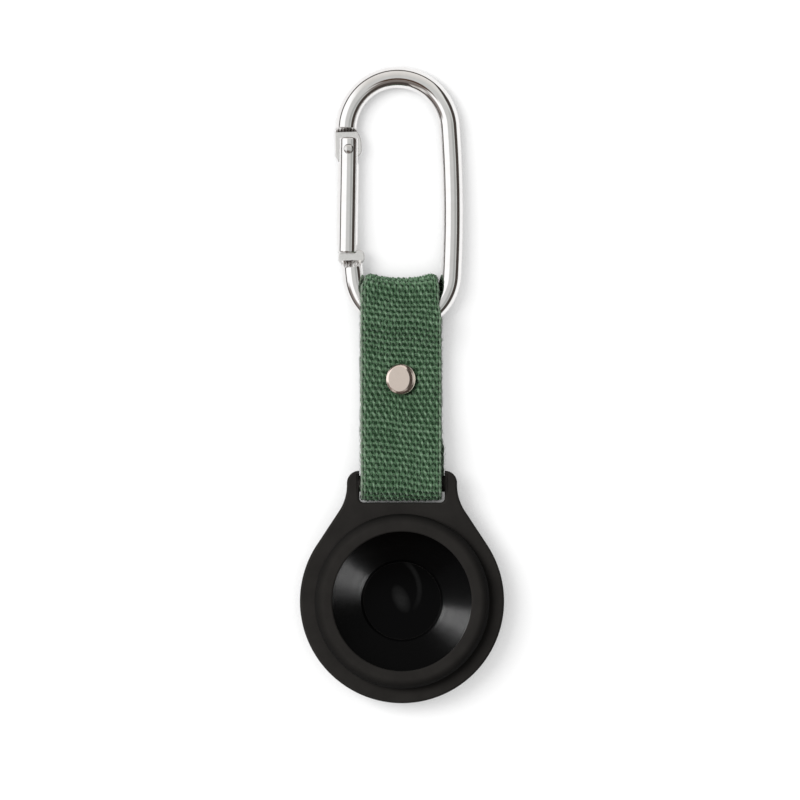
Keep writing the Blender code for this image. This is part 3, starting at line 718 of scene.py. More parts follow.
def caps_of(rings: int, sides: int, first: int = 0) -> list[list[int]]:
    """Faces that close both ends of a tube of rings whose first point has that number."""
    last = first + (rings - 1) * sides
    return [list(range(first, first + sides))[::-1], list(range(last, last + sides))]


def outward(
    mesh: bpy.types.Mesh, mend: Callable[[bmesh.types.BMesh], Any] = lambda shape: None
) -> bpy.types.Mesh:
    """Mends a closed mesh and turns its faces outward.

    Args:
        mesh: The mesh.
        mend: What is done to it first.

    Returns:
        The same mesh.
    """
    shape = bmesh.new()
    shape.from_mesh(mesh)
    mend(shape)
    bmesh.ops.recalc_face_normals(shape, faces=shape.faces)
    shape.to_mesh(mesh)
    shape.free()
    return mesh


def solid(name: str, points: Any, faces: Sequence[Sequence[int]]) -> bpy.types.Mesh:
    """Closed mesh with its faces turned outward.

    Args:
        name: Name of the mesh.
        points: Its points, in any arrangement.
        faces: Point numbers of each face.

    Returns:
        The mesh.
    """
    mesh = bpy.data.meshes.new(name)
    mesh.from_pydata(np.reshape(points, (-1, 3)).tolist(), [], faces)
    return outward(mesh)


def tube_mesh(name: str, rings: np.ndarray) -> bpy.types.Mesh:
    """Closed tube from an array of rings, points and coordinates."""
    count, sides = rings.shape[:2]
    return solid(name, rings, quads_between(count, sides).tolist() + caps_of(count, sides))


def turned_mesh(name: str, profile: Sequence[Point], sides: int) -> bpy.types.Mesh:
    """Solid of revolution about Z from a profile that starts and ends on the axis.

    Args:
        name: Name of the mesh.
        profile: Radius and height of each point.
        sides: Number of sides.

    Returns:
        The mesh.
    """
    radius, height = np.array(profile[1:-1]).T[..., None]
    cosines, sines = circle(sides)
    rings = np.stack([radius * cosines, radius * sines, np.repeat(height, sides, 1)], -1)
    poles = [(0, 0, profile[0][1]), (0, 0, profile[-1][1])]
    top = radius.size * sides
    faces = quads_between(len(radius), sides).tolist()
    for side in range(sides):
        following = (side + 1) % sides
        faces.append([top, side, following])
        faces.append([top + 1, top - sides + following, top - sides + side])
    return solid(name, np.concatenate([rings.reshape(-1, 3), poles]), faces)


def rod_mesh(name: str, radius: float, length: float, sides: int = 64) -> bpy.types.Mesh:
    """Rod along Z, centred on its origin."""
    half = length / 2
    return turned_mesh(name, [(0, half), (radius, half), (radius, -half), (0, -half)], sides)


def box_mesh(name: str, size: Triple, centre: Triple) -> bpy.types.Mesh:
    """Box for a cut."""
    matrix = Matrix.Translation(centre) @ Matrix.Diagonal((*size, 1.0))
    return outward(bpy.data.meshes.new(name), lambda shape: bmesh.ops.create_cube(shape, size=1, matrix=matrix))


def plate_mesh(name: str, outlines: Sequence[Sequence[Point]], thickness: float, edge: float) -> bpy.types.Mesh:
    """Flat plate with rounded edges, centred on its own plane.

    Args:
        name: Name of the mesh.
        outlines: Outer outline and then any holes.
        thickness: Thickness of the plate.
        edge: Radius of its edges.

    Returns:
        The mesh.
    """
    curve = bpy.data.curves.new(name, "CURVE")
    curve.dimensions = "2D"
    curve.fill_mode = "BOTH"
    curve.extrude = thickness / 2 - edge
    curve.bevel_depth = edge
    curve.bevel_resolution = 4
    curve.offset = -edge
    for outline in outlines:
        spline = curve.splines.new("POLY")
        spline.points.add(len(outline) - 1)
        for point, (x, y) in zip(spline.points, outline):
            point.co = (x, y, 0, 1)
        spline.use_cyclic_u = True

    def mend(shape: bmesh.types.BMesh) -> None:
        """Welds what the curve leaves open and joins what lies flat."""
        bmesh.ops.remove_doubles(shape, verts=shape.verts, dist=0.001 * MM)
        bmesh.ops.dissolve_limit(shape, angle_limit=math.radians(0.05), verts=shape.verts, edges=shape.edges)

    return outward(evaluated(linked(bpy.data.objects.new(name, curve))), mend)


def linked(piece: bpy.types.Object) -> bpy.types.Object:
    """Puts an object into the scene."""
    bpy.context.scene.collection.objects.link(piece)
    return piece


def evaluated(piece: bpy.types.Object, *others: bpy.types.Object) -> bpy.types.Mesh:
    """Mesh of an object as its modifiers leave it, after which the object goes.

    Args:
        piece: The object.
        *others: Objects that go with it.

    Returns:
        The mesh.
    """
    graph = bpy.context.evaluated_depsgraph_get()
    made = bpy.data.meshes.new_from_object(piece.evaluated_get(graph))
    for other in (piece, *others):
        bpy.data.objects.remove(other, do_unlink=True)
    return made


def combined(mesh: bpy.types.Mesh, join: Mapping[Join, Sequence[bpy.types.Mesh]]) -> bpy.types.Mesh:
    """A solid after other solids are added to it or cut from it.

    Args:
        mesh: The first solid.
        join: The other solids by how they join, in order.

    Returns:
        The finished mesh.
    """
    piece = linked(bpy.data.objects.new(mesh.name, mesh))
    others = []
    for way, tools in join.items():
        for tool in tools:
            others.append(linked(bpy.data.objects.new(tool.name, tool)))
            modifier = piece.modifiers.new(tool.name, "BOOLEAN")
            modifier.operation = way.value
            modifier.object = others[-1]
    return evaluated(piece, *others)


def moved(mesh: bpy.types.Mesh, matrix: Matrix) -> bpy.types.Mesh:
    """A mesh taken through a matrix."""
    mesh.transform(matrix)
    return mesh


@dataclass(frozen=True)
class Fitting:
    """What a new piece belongs to: its body and the nodes that it stands for; its material slot is not used."""

    body: str
    slot: str
    nodes: tuple[str, ...] = ()

    def put(
        self,
        name: str,
        mesh: bpy.types.Mesh,
        material: bpy.types.Material,
        sharp: Optional[float] = 35.0,
        rides: bool = True,
    ) -> bpy.types.Object:
        """Adds the piece to the scene.

        Args:
            name: Name of the piece.
            mesh: Its mesh, in the row frame.
            material: Its material.
            sharp: Angle in degrees from which an edge stays sharp, or None for no sharp edge.
            rides: Whether it rides on its body from here.

        Returns:
            The piece.
        """
        mesh.name = name
        mesh.materials.clear()
        mesh.materials.append(material)
        mesh.shade_smooth()
        piece = linked(bpy.data.objects.new(name, mesh))
        if sharp is not None:
            mesh.set_sharp_from_angle(angle=math.radians(sharp))
            piece.modifiers.new("Even shading", "WEIGHTED_NORMAL").keep_sharp = True
        if self.nodes:
            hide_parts(*self.nodes)
        if rides:
            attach(piece, self.body)
        LOG.info("%s: %d faces on %s", name, len(mesh.polygons), self.body)
        return piece


# Tracker holder

@dataclass(frozen=True)
class TrackerHolder:
    """Soft moulded holder: ring, flange and lug in one piece, and the turned floor of its pocket."""

    centre: Point = (0.0, -42.487 * MM)
    pocket_radius: float = 16.05 * MM
    ring_radius: float = 17.2 * MM
    ring_round: float = 1.9 * MM
    height: float = 10.6 * MM
    lip_height: float = 9.4 * MM
    opening_radius: float = 13.7 * MM
    lip_edge: float = 0.35 * MM
    back_wall: float = 1.3 * MM
    disc_radius: float = 8.1 * MM
    disc_edge: float = 0.5 * MM
    dish_sag: float = 0.3 * MM
    step: float = 0.4 * MM
    cone_slope: float = math.tan(math.radians(12.0))
    flange_radius: float = 20.1 * MM
    plate_thickness: float = 3.4 * MM
    plate_edge: float = 0.55 * MM
    lug_half_width: float = 10.85 * MM
    lug_reach: float = 25.65 * MM
    ear_corner: float = 2.4 * MM
    slot_half_width: float = 8.4 * MM
    slot_edge: float = 19.4 * MM
    slot_corner: float = 0.9 * MM
    shoulder_fillet: float = 9.3 * MM
    shoulder_angle: float = math.radians(33.4)
    bar_radius: float = 1.6 * MM
    bar_reach: float = 23.1 * MM
    bar_root: float = 1.0 * MM
    skin: float = 0.03 * MM
    skin_depth: float = 0.09 * MM
    sides: int = 256

    def cone_profile(self, lift: float = 0.0) -> list[Point]:
        """The cone of the pocket floor, from the wall inward.

        Args:
            lift: How far it lies over the solid.

        Returns:
            Radius and height of each point.
        """
        start = self.back_wall + self.dish_sag + self.step
        radii = np.linspace(self.pocket_radius, self.disc_radius, 24)
        return [(radius, start + (radius - self.disc_radius) * self.cone_slope + lift) for radius in radii]

    def dish_profile(self, lift: float = 0.0) -> list[Point]:
        """The dish in the middle of the floor, from its edge inward.

        Args:
            lift: How far it lies over the solid.

        Returns:
            Radius and height of each point.
        """
        inner = self.disc_radius - self.disc_edge
        shares = np.linspace(1.0, 0.0, 20)
        return [(inner * share, self.back_wall + self.dish_sag * share ** 2 + lift) for share in shares]

    def ring_profile(self) -> list[Point]:
        """Outline of the ring's section.

        Returns:
            Its points, from the middle of the back round to the middle of the pocket floor.
        """
        crown = self.ring_radius - self.ring_round
        back = arc((crown, self.ring_round), self.ring_round, -QUARTER, 0, 6)
        front = arc((crown, self.height - self.ring_round), self.ring_round, 0, QUARTER, 6)
        edge_centre = (self.opening_radius + self.lip_edge, self.height - self.lip_edge)
        edge = arc(edge_centre, self.lip_edge, QUARTER, 2 * QUARTER, 15)
        inside = [(self.opening_radius, self.lip_height), (self.pocket_radius, self.lip_height)]
        return [(0, 0), *back, *front, *edge, *inside, *self.cone_profile(), *self.dish_profile()]

    def plate_outline(self) -> list[Point]:
        """Outline of the flange and the lug, with the slot open at the top.

        Returns:
            Its points.
        """
        touch = self.shoulder_angle
        fillet_x = self.lug_half_width + self.shoulder_fillet
        fillet_y = (self.flange_radius + self.shoulder_fillet - fillet_x * math.cos(touch)) / math.sin(touch)
        outer = (self.lug_half_width - self.ear_corner, self.lug_reach - self.ear_corner)
        base = (self.slot_half_width - self.slot_corner, self.slot_edge + self.slot_corner)
        right = [
            *arc((fillet_x, fillet_y), self.shoulder_fillet, math.pi + touch, math.pi),
            *arc(outer, self.ear_corner, 0, QUARTER, 6),
            (self.slot_half_width, self.lug_reach),
            *arc(base, self.slot_corner, 0, -QUARTER, 10),
        ]
        left = [(-x, y) for x, y in reversed(right)]
        flange = arc((0, 0), self.flange_radius, math.pi - touch, 2 * math.pi + touch, 1.5)
        return right + left + flange[1:-1]

    def cone_mesh(self) -> bpy.types.Mesh:
        """Thin ring over the cone of the floor and the step inside it.

        Returns:
            The mesh.
        """
        foot, floor = self.disc_radius - self.disc_edge + self.skin, self.back_wall + self.dish_sag
        top = [*self.cone_profile(self.skin), (foot, floor + self.skin)]
        under = [(foot, floor - self.skin_depth), *self.cone_profile(-self.skin_depth)[::-1]]
        wall = self.pocket_radius - self.skin
        section = np.array([(min(radius, wall), height) for radius, height in top + under])
        cosines, sines = (wave[:, None] for wave in circle(self.sides))
        heights = np.repeat(section[None, :, 1], self.sides, 0)
        rings = np.stack([cosines * section[:, 0], sines * section[:, 0], heights], -1)
        faces = quads_between(self.sides + 1, len(section)) % (self.sides * len(section))
        return solid("cone", rings, faces.tolist())

    def build(
        self, rubber: bpy.types.Material, cone: bpy.types.Material, dish: bpy.types.Material
    ) -> bpy.types.Object:
        """Adds the holder and the two parts of its pocket floor.

        Args:
            rubber: Finish of the outside.
            cone: Finish of the cone.
            dish: Finish of the dish.

        Returns:
            The cone of the floor.
        """
        within_wall = (self.pocket_radius + self.ring_radius) / 2
        hole = arc((0, 0), within_wall, 0, 2 * math.pi, 3)[:-1]
        plate = plate_mesh("plate", [self.plate_outline(), hole], self.plate_thickness, self.plate_edge)
        plate = moved(plate, Matrix.Translation((0, 0, self.height / 2)))
        across = Matrix.Translation((0, self.bar_reach, self.height / 2)) @ Matrix.Rotation(QUARTER, 4, "Y")
        bar = moved(rod_mesh("bar", self.bar_radius, 2 * (self.slot_half_width + self.bar_root)), across)
        ring = turned_mesh("ring", self.ring_profile(), self.sides)
        at = Place((*self.centre, 0.0)).matrix()
        body = moved(combined(ring, {Join.ADD: [plate, bar]}), at)
        Fitting("holder", "black_rubber", ("tag_holder",)).put("holder_body", body, rubber)
        lining = Fitting("holder", "black_rubber")
        profile = self.dish_profile(self.skin)[::-1] + self.dish_profile(-self.skin_depth)
        lining.put("pocket_dish", moved(turned_mesh("dish", profile, self.sides), at), dish, 25.0)
        return lining.put("pocket_cone", moved(self.cone_mesh(), at), cone, 25.0)


# Webbing strap

@dataclass(frozen=True)
class Band:
    """Middle line of the webbing in even steps, and its normals, both as along and up."""

    line: np.ndarray
    normal: np.ndarray

    def __getitem__(self, index: Any) -> "Band":
        """The same steps of the line and of its normals."""
        return Band(self.line[index], self.normal[index])

    def at(self, steps: np.ndarray) -> "Band":
        """The band between its steps."""
        return Band(sampled(self.line, steps), sampled(self.normal, steps))


@dataclass(frozen=True)
class WebbingStrap:
    """One strip of coarse webbing, looped round the bar and the wire, modelled yarn by yarn.

    Sizes of the weave and of its unevenness that are shares are of a pick or of the size that they change. Two
    numbers of the loose fibres are the least and the most, in millimetres or, for the curl, in radians.
    """

    place: Place = Place((0.0, -19.387 * MM, 5.3 * MM), slope=0.04277)
    width: float = 16.0 * MM
    thickness: float = 1.3 * MM
    layer_pitch: float = 1.45 * MM
    bar_wrap: float = 2.92 * MM
    wire_wrap: float = 3.05 * MM
    rivet_reach: float = 20.5 * MM
    lap_half: float = 4.2 * MM
    inner_end: float = 5.8 * MM
    lap_bend: float = 8.0 * MM
    wire_middle: float = 31.88 * MM
    fold_centre: float = 37.95 * MM
    fold_half_width: float = 7.25 * MM
    fold_sag: float = 0.85 * MM
    fold_drop: float = 0.45 * MM
    fold_corner: float = 0.84
    fold_turn: Point = (0.25, 0.97)
    side_shift: float = -0.2 * MM
    right_pull: float = 0.45 * MM
    pull_span: Point = (32.5 * MM, 36.0 * MM)
    back_peep: float = 0.5 * MM
    peep_span: Window = (-1.0 * MM, 1.5 * MM, 7.0 * MM, 10.0 * MM)
    ear_pull: float = 0.06 * MM
    ear_span: Point = (-6.0 * MM, -3.0 * MM)
    press: float = 0.15 * MM
    press_span: Point = (2.5 * MM, 4.0 * MM)
    crease_shade_span: Point = (3.15 * MM, 3.65 * MM)
    warps: int = 27
    pick: float = 1.16 * MM
    points_per_pick: int = 7
    skew: float = 0.10
    drift_size: float = 0.12 * MM
    warp_rise: float = 0.29 * MM
    warp_half_width: float = 0.285 * MM
    warp_half_height: float = 0.29 * MM
    warp_spread: tuple[float, ...] = (0.09, 0.045, 0.030, 0.35)
    warp_waist: float = 0.20
    valley: float = 0.20
    crease_light: float = 0.1
    # Shares of painted grey sheen on the left edge yarn, the second yarn, the inner yarns and the right edge
    # yarn.
    grey_sheen_edge: tuple[float, ...] = (0.60, 0.25, 0.0, 0.30)
    weft_rise: float = 0.17 * MM
    weft_radius: float = 0.27 * MM
    weft_inset: float = 0.28 * MM
    weft_turn: float = 0.3
    weft_step: float = 0.3 * MM
    weft_crown: float = 0.52
    lean: float = 0.15 * MM
    core_half: Point = (7.55 * MM, 0.07 * MM)
    fibres: int = 1700
    fibre_radius: float = 0.017 * MM
    fibre_run: float = 0.75 * MM
    edge_fibres: float = 0.4
    left_fibres: float = 0.65
    front_fibres: float = 0.8
    edge_inset: float = 0.1 * MM
    face_inset: float = 0.3 * MM
    edge_reach: Point = (0.1, 0.42)
    face_reach: float = 0.4
    fibre_curl: Point = (1.2, 2.8)
    edge_lift: Point = (-0.4, 0.5)
    face_lift: Point = (0.42, 0.56)
    fibre_arch: Point = (0.05, 0.20)
    sides: int = 8
    seed: int = 11
    blend_span: Point = (9.5 * MM, 18.0 * MM)
    blend_height: float = 4 * MM

    def pitch(self) -> float:
        """Distance between two lengthwise yarns."""
        return (self.width - 2 * self.warp_half_width) / (self.warps - 1)

    def band(self) -> Band:
        """The webbing's middle from its inner end.

        Returns:
            Even steps of a part of a pick.
        """
        near = self.layer_pitch / 2
        far = self.layer_pitch * 3 / 2
        start, end = self.rivet_reach - self.lap_half, self.rivet_reach + self.lap_half
        line = np.array(belt([
            (self.rivet_reach + self.inner_end, -near, 0.0),
            (start, -near - self.lap_bend, self.lap_bend),
            (0.0, 0.0, -self.bar_wrap),
            (start, near + self.lap_bend, self.lap_bend),
            (end, near + self.lap_bend, self.lap_bend),
            (self.wire_middle, 0.0, -self.wire_wrap),
            (self.fold_centre, 0.0, -self.wire_wrap),
            (self.wire_middle, 0.0, -self.wire_wrap),
            (end, -far - self.lap_bend, self.lap_bend),
            (start, -far, 0.0),
        ]))
        line = line[np.r_[True, np.hypot(*np.diff(line, axis=0).T) > 1e-9]]
        along = np.r_[0, np.cumsum(np.hypot(*np.diff(line, axis=0).T))]
        line = sampled(line, np.arange(0, along[-1], self.pick / self.points_per_pick), along)
        tangent = unit(np.gradient(line, axis=0))
        return Band(line, np.stack([-tangent[:, 1], tangent[:, 0]], 1))

    def placed(self, across: np.ndarray, band: Band, lift: np.ndarray) -> np.ndarray:
        """Points of the webbing in the strap's own space.

        Args:
            across: Distance from the middle, before the fold draws it in.
            band: Middle line under each point.
            lift: Distance from the middle line.

        Returns:
            Array of points.
        """
        along, up = band.line[..., 0], band.line[..., 1]
        front = smooth_step(up, -0.6 * self.thickness, 0.6 * self.thickness)
        bend = smooth_step((along - self.fold_centre) / self.wire_wrap, *self.fold_turn)
        pull = smooth_step(along, *self.pull_span) * (1 - bend) * front
        peep = smooth_step(along, *self.peep_span[:2]) * (1 - smooth_step(along, *self.peep_span[2:]))
        peep = peep * (1 - front)
        half = self.width / 2
        share = across / half
        inner = np.minimum(np.abs(share) / self.fold_corner, 1)
        outer = np.maximum((np.abs(share) - self.fold_corner) / (1 - self.fold_corner), 0)
        sag = self.fold_sag * (inner ** 2 - 1) - self.fold_drop * outer ** 2
        x = across * (1 + (self.fold_half_width / half - 1) * bend) + self.side_shift + self.back_peep * peep
        x = x - self.right_pull * pull * np.maximum(share, 0) ** 2
        x = x + self.ear_pull * smooth_step(-along, *self.ear_span) * np.maximum(-share, 0) ** 2
        away = np.hypot(x - self.side_shift, along - self.rivet_reach)
        pressed = lift - self.press * (1 - smooth_step(away, *self.press_span)) * np.sign(lift + 1e-9)
        sagging = smooth_step(along, self.wire_middle, self.fold_centre)
        y = along + pressed * band.normal[..., 0] + sag * sagging
        return np.stack([x, y, up + pressed * band.normal[..., 1]], -1)

    def drift(self, across: np.ndarray, along: np.ndarray) -> np.ndarray:
        """How far the rows lie behind a straight crossing: they slant a little and wave slowly.

        Args:
            across: Distance from the middle of the webbing.
            along: Distance along it.

        Returns:
            The distance at each point.
        """
        slow = np.sin(across / (2.1 * MM) + along / (7.3 * MM))
        quick = np.sin(across / (1.2 * MM) - along / (3.9 * MM) + 1.0)
        return self.skew * across + self.drift_size * (slow + 0.6 * quick)

    def add_warps(self, yarns: "Yarns", band: Band) -> None:
        """Adds the lengthwise yarns, whose crowns make the face of the webbing.

        Args:
            yarns: Mesh that takes them.
            band: Middle of the webbing.
        """
        random = np.random.RandomState(self.seed)
        steps = np.arange(len(band.line)) / self.points_per_pick
        for number in range(self.warps):
            middle = (number - (self.warps - 1) / 2) * self.pitch()
            rows = steps + self.drift(middle, steps * self.pick) / self.pick + 2
            beads = np.arange(int(rows.max()) + 3)
            size, side, lift, slant = (
                np.interp(rows, beads, random.randn(len(beads)).clip(-2, 2) * spread)
                for spread in self.warp_spread
            )
            phase = math.pi * (rows + number)
            free = min(min(number, self.warps - 1 - number) * 0.4 + 0.2, 1)
            rise = free * self.warp_rise * np.cos(phase) + lift * MM
            across = middle + free * (side * MM - self.lean * (1 + slant) * np.sin(phase))
            tone = random.rand(len(beads)) * 0.7 + random.rand() * 0.3
            waist = 1 - self.warp_waist + self.warp_waist * np.abs(np.cos(phase))
            width = self.warp_half_width * (1 + size) * waist
            height = self.warp_half_height * (1 + 0.5 * size)
            # The height in the weave, which the cotton paints as light on the crowns and as shade in the
            # valleys.
            crown = self.valley + (1 - self.valley) * (0.5 + 0.5 * np.cos(2 * phase)) ** 0.8
            # Painted contact shade: the height, and with it the light, drops in a ring round the rivet.
            away = np.hypot(across, band.line[:, 0] - self.rivet_reach)
            crease_shade = self.crease_light + (1 - self.crease_light) * smooth_step(away, *self.crease_shade_span)
            # The edge yarns take the painted grey sheen.
            left, second, inner, right = self.grey_sheen_edge
            yarns.add(
                lambda x, z: self.placed(across[:, None] + x, band[:, None], rise[:, None] + z),
                np.stack([width, height], 1),
                steps * self.pick,
                tone[np.floor(rows + 0.5).astype(int)],
                crease_shade * crown,
                {0: left, 1: second, self.warps - 1: right}.get(number, inner),
            )

    def add_weft(self, yarns: "Yarns", band: Band) -> None:
        """Adds the crosswise yarn, which runs to and fro and turns round at both edges.

        Args:
            yarns: Mesh that takes it.
            band: Middle of the webbing.
        """
        random = np.random.RandomState(self.seed + 1)
        half = self.width / 2 - self.weft_inset
        picks = (len(band.line) - 1) // self.points_per_pick
        for number in range(0, picks, 2):
            rows = []
            for turn in range(number, min(number + 2, picks)):
                forth = turn == number
                x = np.linspace(-1, 1, 2 * self.warps + 1) * (half if forth else -half)
                lift = -self.weft_rise * np.cos(math.pi * (turn + x / self.pitch() + (self.warps - 1) / 2))
                station = turn - self.drift(x, np.full(len(x), turn * self.pick)) / self.pick
                station[-1 if forth else 0] += self.weft_turn if forth else -self.weft_turn
                rows.append(np.stack([x, station * self.points_per_pick, lift], 1))
            across, steps, lift = np.concatenate(rows).T[..., None]
            under = band.at(np.clip(steps[:, 0], 0, len(band.line) - 1))[:, None]
            forward = np.stack([under.normal[..., 1], -under.normal[..., 0]], -1)
            count = len(across)
            yarns.add(
                lambda x, z: self.placed(
                    np.repeat(across, x.shape[1], 1),
                    Band(under.line + forward * x[..., None], under.normal),
                    lift + z,
                ),
                np.full((count, 2), self.weft_radius),
                np.arange(count) * self.weft_step,
                random.rand(),
                self.weft_crown,
            )

    def add_core(self, yarns: "Yarns", band: Band) -> None:
        """Adds a thin band inside the webbing that keeps light from passing between the yarns.

        Args:
            yarns: Mesh that takes it.
            band: Middle of the webbing.
        """
        columns = np.linspace(-1, 1, 13)
        rows = band[:: self.points_per_pick]
        loops = np.r_[columns, columns[::-1]], np.repeat((-1, 1), len(columns))
        x, z = (np.repeat(loop[None] * size, len(rows.line), 0) for loop, size in zip(loops, self.core_half))
        # Its height and tone of 0 give it the cotton's painted valley shade.
        yarns.add_rings(self.placed(x, rows[:, None], z), 0.0, 0.0, 0.0)

    def add_fuzz(self, yarns: "Yarns", band: Band) -> None:
        """Adds loose fibres that stand off the faces, the folds and above all the edges.

        Args:
            yarns: Mesh that takes them.
            band: Middle of the webbing.
        """
        random = np.random.RandomState(self.seed + 2)
        one = (self.fibres, 1)

        def between(low: float, high: float) -> np.ndarray:
            """A random number for each fibre."""
            return random.uniform(low, high, one)

        share = np.linspace(0, 1, 4)[None, :]
        edge = random.rand(*one) < self.edge_fibres
        side = np.where(random.rand(*one) < self.left_fibres, -1.0, 1.0)
        half = self.width / 2
        start = np.where(edge, side * (half - self.edge_inset), between(-1, 1) * (half - self.face_inset))
        reach = np.where(edge, side * between(*self.edge_reach), random.randn(*one) * self.face_reach) * MM
        across = start + reach * np.sin(share * between(*self.fibre_curl))
        face = np.where(random.rand(*one) < self.front_fibres, 1.0, -1.0)
        lift = np.where(edge, between(*self.edge_lift), face * between(*self.face_lift)) * MM
        lift = lift + face * between(*self.fibre_arch) * MM * np.sin(share * math.pi)
        run = random.randn(*one) * self.fibre_run / self.pick * self.points_per_pick
        at = np.clip(random.rand(*one) * len(band.line) + run * share, 0, len(band.line) - 1)
        middle = self.placed(across, band.at(at), lift)
        tangent = np.gradient(middle, axis=1)
        first = unit(np.cross(tangent, (0.3, 0.2, 1.0)))
        second = unit(np.cross(tangent, first))
        cosines, sines = (wave[:, None] for wave in circle(3))
        ring = first[:, :, None] * cosines + second[:, :, None] * sines
        tubes = middle[:, :, None] + ring * self.fibre_radius
        # Each loose fibre takes a random share of the painted grey sheen.
        for tube, tone, grey_sheen in zip(tubes, random.rand(self.fibres), random.uniform(0.0, 0.9, self.fibres)):
            yarns.add_rings(tube, 0.0, tone, 0.85, grey_sheen)

    def build(self, cotton: bpy.types.Material) -> None:
        """Adds the webbing.

        Args:
            cotton: Finish of the yarn.
        """
        band = self.band()
        yarns = Yarns(self.sides)
        for add in (self.add_warps, self.add_weft, self.add_core, self.add_fuzz):
            add(yarns, band)
        mesh = yarns.mesh("webbing", self.place.matrix())
        fitting = Fitting("strap", "green_webbing", ("strap",))
        piece = fitting.put("webbing", mesh, cotton, sharp=None, rides=False)
        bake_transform(piece)


def belt(circles: Sequence[Triple]) -> list[Point]:
    """Points of a band that runs past circles of along, up and radius, where a left turn has a radius over zero.

    Args:
        circles: The circles in order.

    Returns:
        The points.
    """
    headings = []
    for first, second in zip(circles, circles[1:]):
        away = Vector((second[0] - first[0], second[1] - first[1]))
        lean = math.asin((second[2] - first[2]) / away.length)
        headings.append(math.atan2(away.y, away.x) - lean)
    points = []
    for index, (y, z, radius) in enumerate(circles):
        start = headings[max(index - 1, 0)]
        end = headings[min(index, len(headings) - 1)]
        turn = (end - start + math.pi) % (2 * math.pi) - math.pi
        if radius < 0 < turn:
            turn -= 2 * math.pi
        if radius > 0 > turn:
            turn += 2 * math.pi
        steps = max(1, math.ceil(abs(math.degrees(turn)) / 2.0)) if radius else 0
        for step in range(steps + 1):
            heading = start + turn * step / max(steps, 1)
            points.append((y + radius * math.sin(heading), z - radius * math.cos(heading)))
    return points


class Yarns:
    """Many closed tubes gathered into one mesh, with a map along and around each."""

    ply: float = 1.95 * MM
    ply_depth: float = 0.09

    def __init__(self, sides: int) -> None:
        """Starts with no yarn.

        Args:
            sides: Number of sides of each yarn.
        """
        self.sides = sides
        self.points: list[np.ndarray] = []
        self.quads: list[np.ndarray] = []
        self.caps: list[list[int]] = []
        self.marks: dict[str, list[np.ndarray]] = {}
        self.total = 0

    def add(
        self,
        section: Callable[[np.ndarray, np.ndarray], np.ndarray],
        sizes: np.ndarray,
        length: np.ndarray,
        tone: Union[float, np.ndarray],
        crown: Union[float, np.ndarray],
        grey_sheen: float = 0.0,
    ) -> None:
        """Adds one yarn of two plies.

        Args:
            section: Gives points for offsets across and up from the yarn's middle.
            sizes: Half width and half height at each station.
            length: Distance along the yarn at each station.
            tone: Shade at each station.
            crown: How high in the weave each station lies, from 0 to 1.
            grey_sheen: How much painted grey sheen the yarn takes, from 0 to 1.
        """
        angles = np.arange(self.sides) * (2 * math.pi / self.sides)
        lobes = 1 + self.ply_depth * np.cos(2 * (angles[None, :] - length[:, None] * (math.pi / self.ply)))
        rings = section(sizes[:, :1] * np.cos(angles) * lobes, sizes[:, 1:] * np.sin(angles) * lobes)
        self.add_rings(rings, length, tone, crown, grey_sheen)

    def add_rings(
        self,
        rings: np.ndarray,
        length: Union[float, np.ndarray],
        tone: Union[float, np.ndarray],
        crown: Union[float, np.ndarray],
        grey_sheen: float = 0.0,
    ) -> None:
        """Adds one closed tube from its rings.

        Args:
            rings: Array of rings, points and coordinates.
            length: Distance along at each ring.
            tone: Shade at each ring.
            crown: Height in the weave at each ring.
            grey_sheen: How much painted grey sheen the yarn takes, from 0 to 1.
        """
        count, sides = rings.shape[:2]
        self.points.append(rings.reshape(-1, 3))
        self.quads.append(quads_between(count, sides, self.total))
        self.caps += caps_of(count, sides, self.total)
        self.total += count * sides
        self.marks.setdefault("around", []).append(np.tile(np.arange(sides) / sides, count))
        for label, numbers in (("along", length), ("shade", tone), ("height", crown), ("grey_sheen", grey_sheen)):
            self.marks.setdefault(label, []).append(np.repeat(np.broadcast_to(numbers, count), sides))

    def mesh(self, name: str, matrix: Matrix) -> bpy.types.Mesh:
        """The yarns as one mesh.

        Args:
            name: Name of the mesh.
            matrix: From the yarns' space to the row frame.

        Returns:
            The mesh.
        """
        points = np.concatenate(self.points) @ np.array(matrix.to_3x3()).T + np.array(matrix.translation)
        quads = np.concatenate(self.quads)
        sizes = np.r_[np.full(len(quads), 4), [len(cap) for cap in self.caps]].astype(np.int32)
        corners = np.r_[quads.ravel(), np.concatenate(self.caps)].astype(np.int32)
        mesh = bpy.data.meshes.new(name)
        mesh.vertices.add(len(points))
        mesh.vertices.foreach_set("co", points.astype(np.float32).ravel())
        mesh.loops.add(len(corners))
        mesh.loops.foreach_set("vertex_index", corners)
        mesh.polygons.add(len(sizes))
        mesh.polygons.foreach_set("loop_start", np.r_[0, np.cumsum(sizes)[:-1]].astype(np.int32))
        mesh.update(calc_edges=True)
        mesh.validate()
        marks = {label: np.concatenate(numbers).astype(np.float32) for label, numbers in self.marks.items()}
        uv = np.stack([marks["along"], marks["around"]], 1)[corners]
        mesh.uv_layers.new(name="yarn").uv.foreach_set("vector", uv.ravel())
        for label in ("shade", "height", "grey_sheen"):
            mesh.attributes.new(label, "FLOAT", "POINT").data.foreach_set("value", marks[label])
        return outward(mesh)


# Rivet

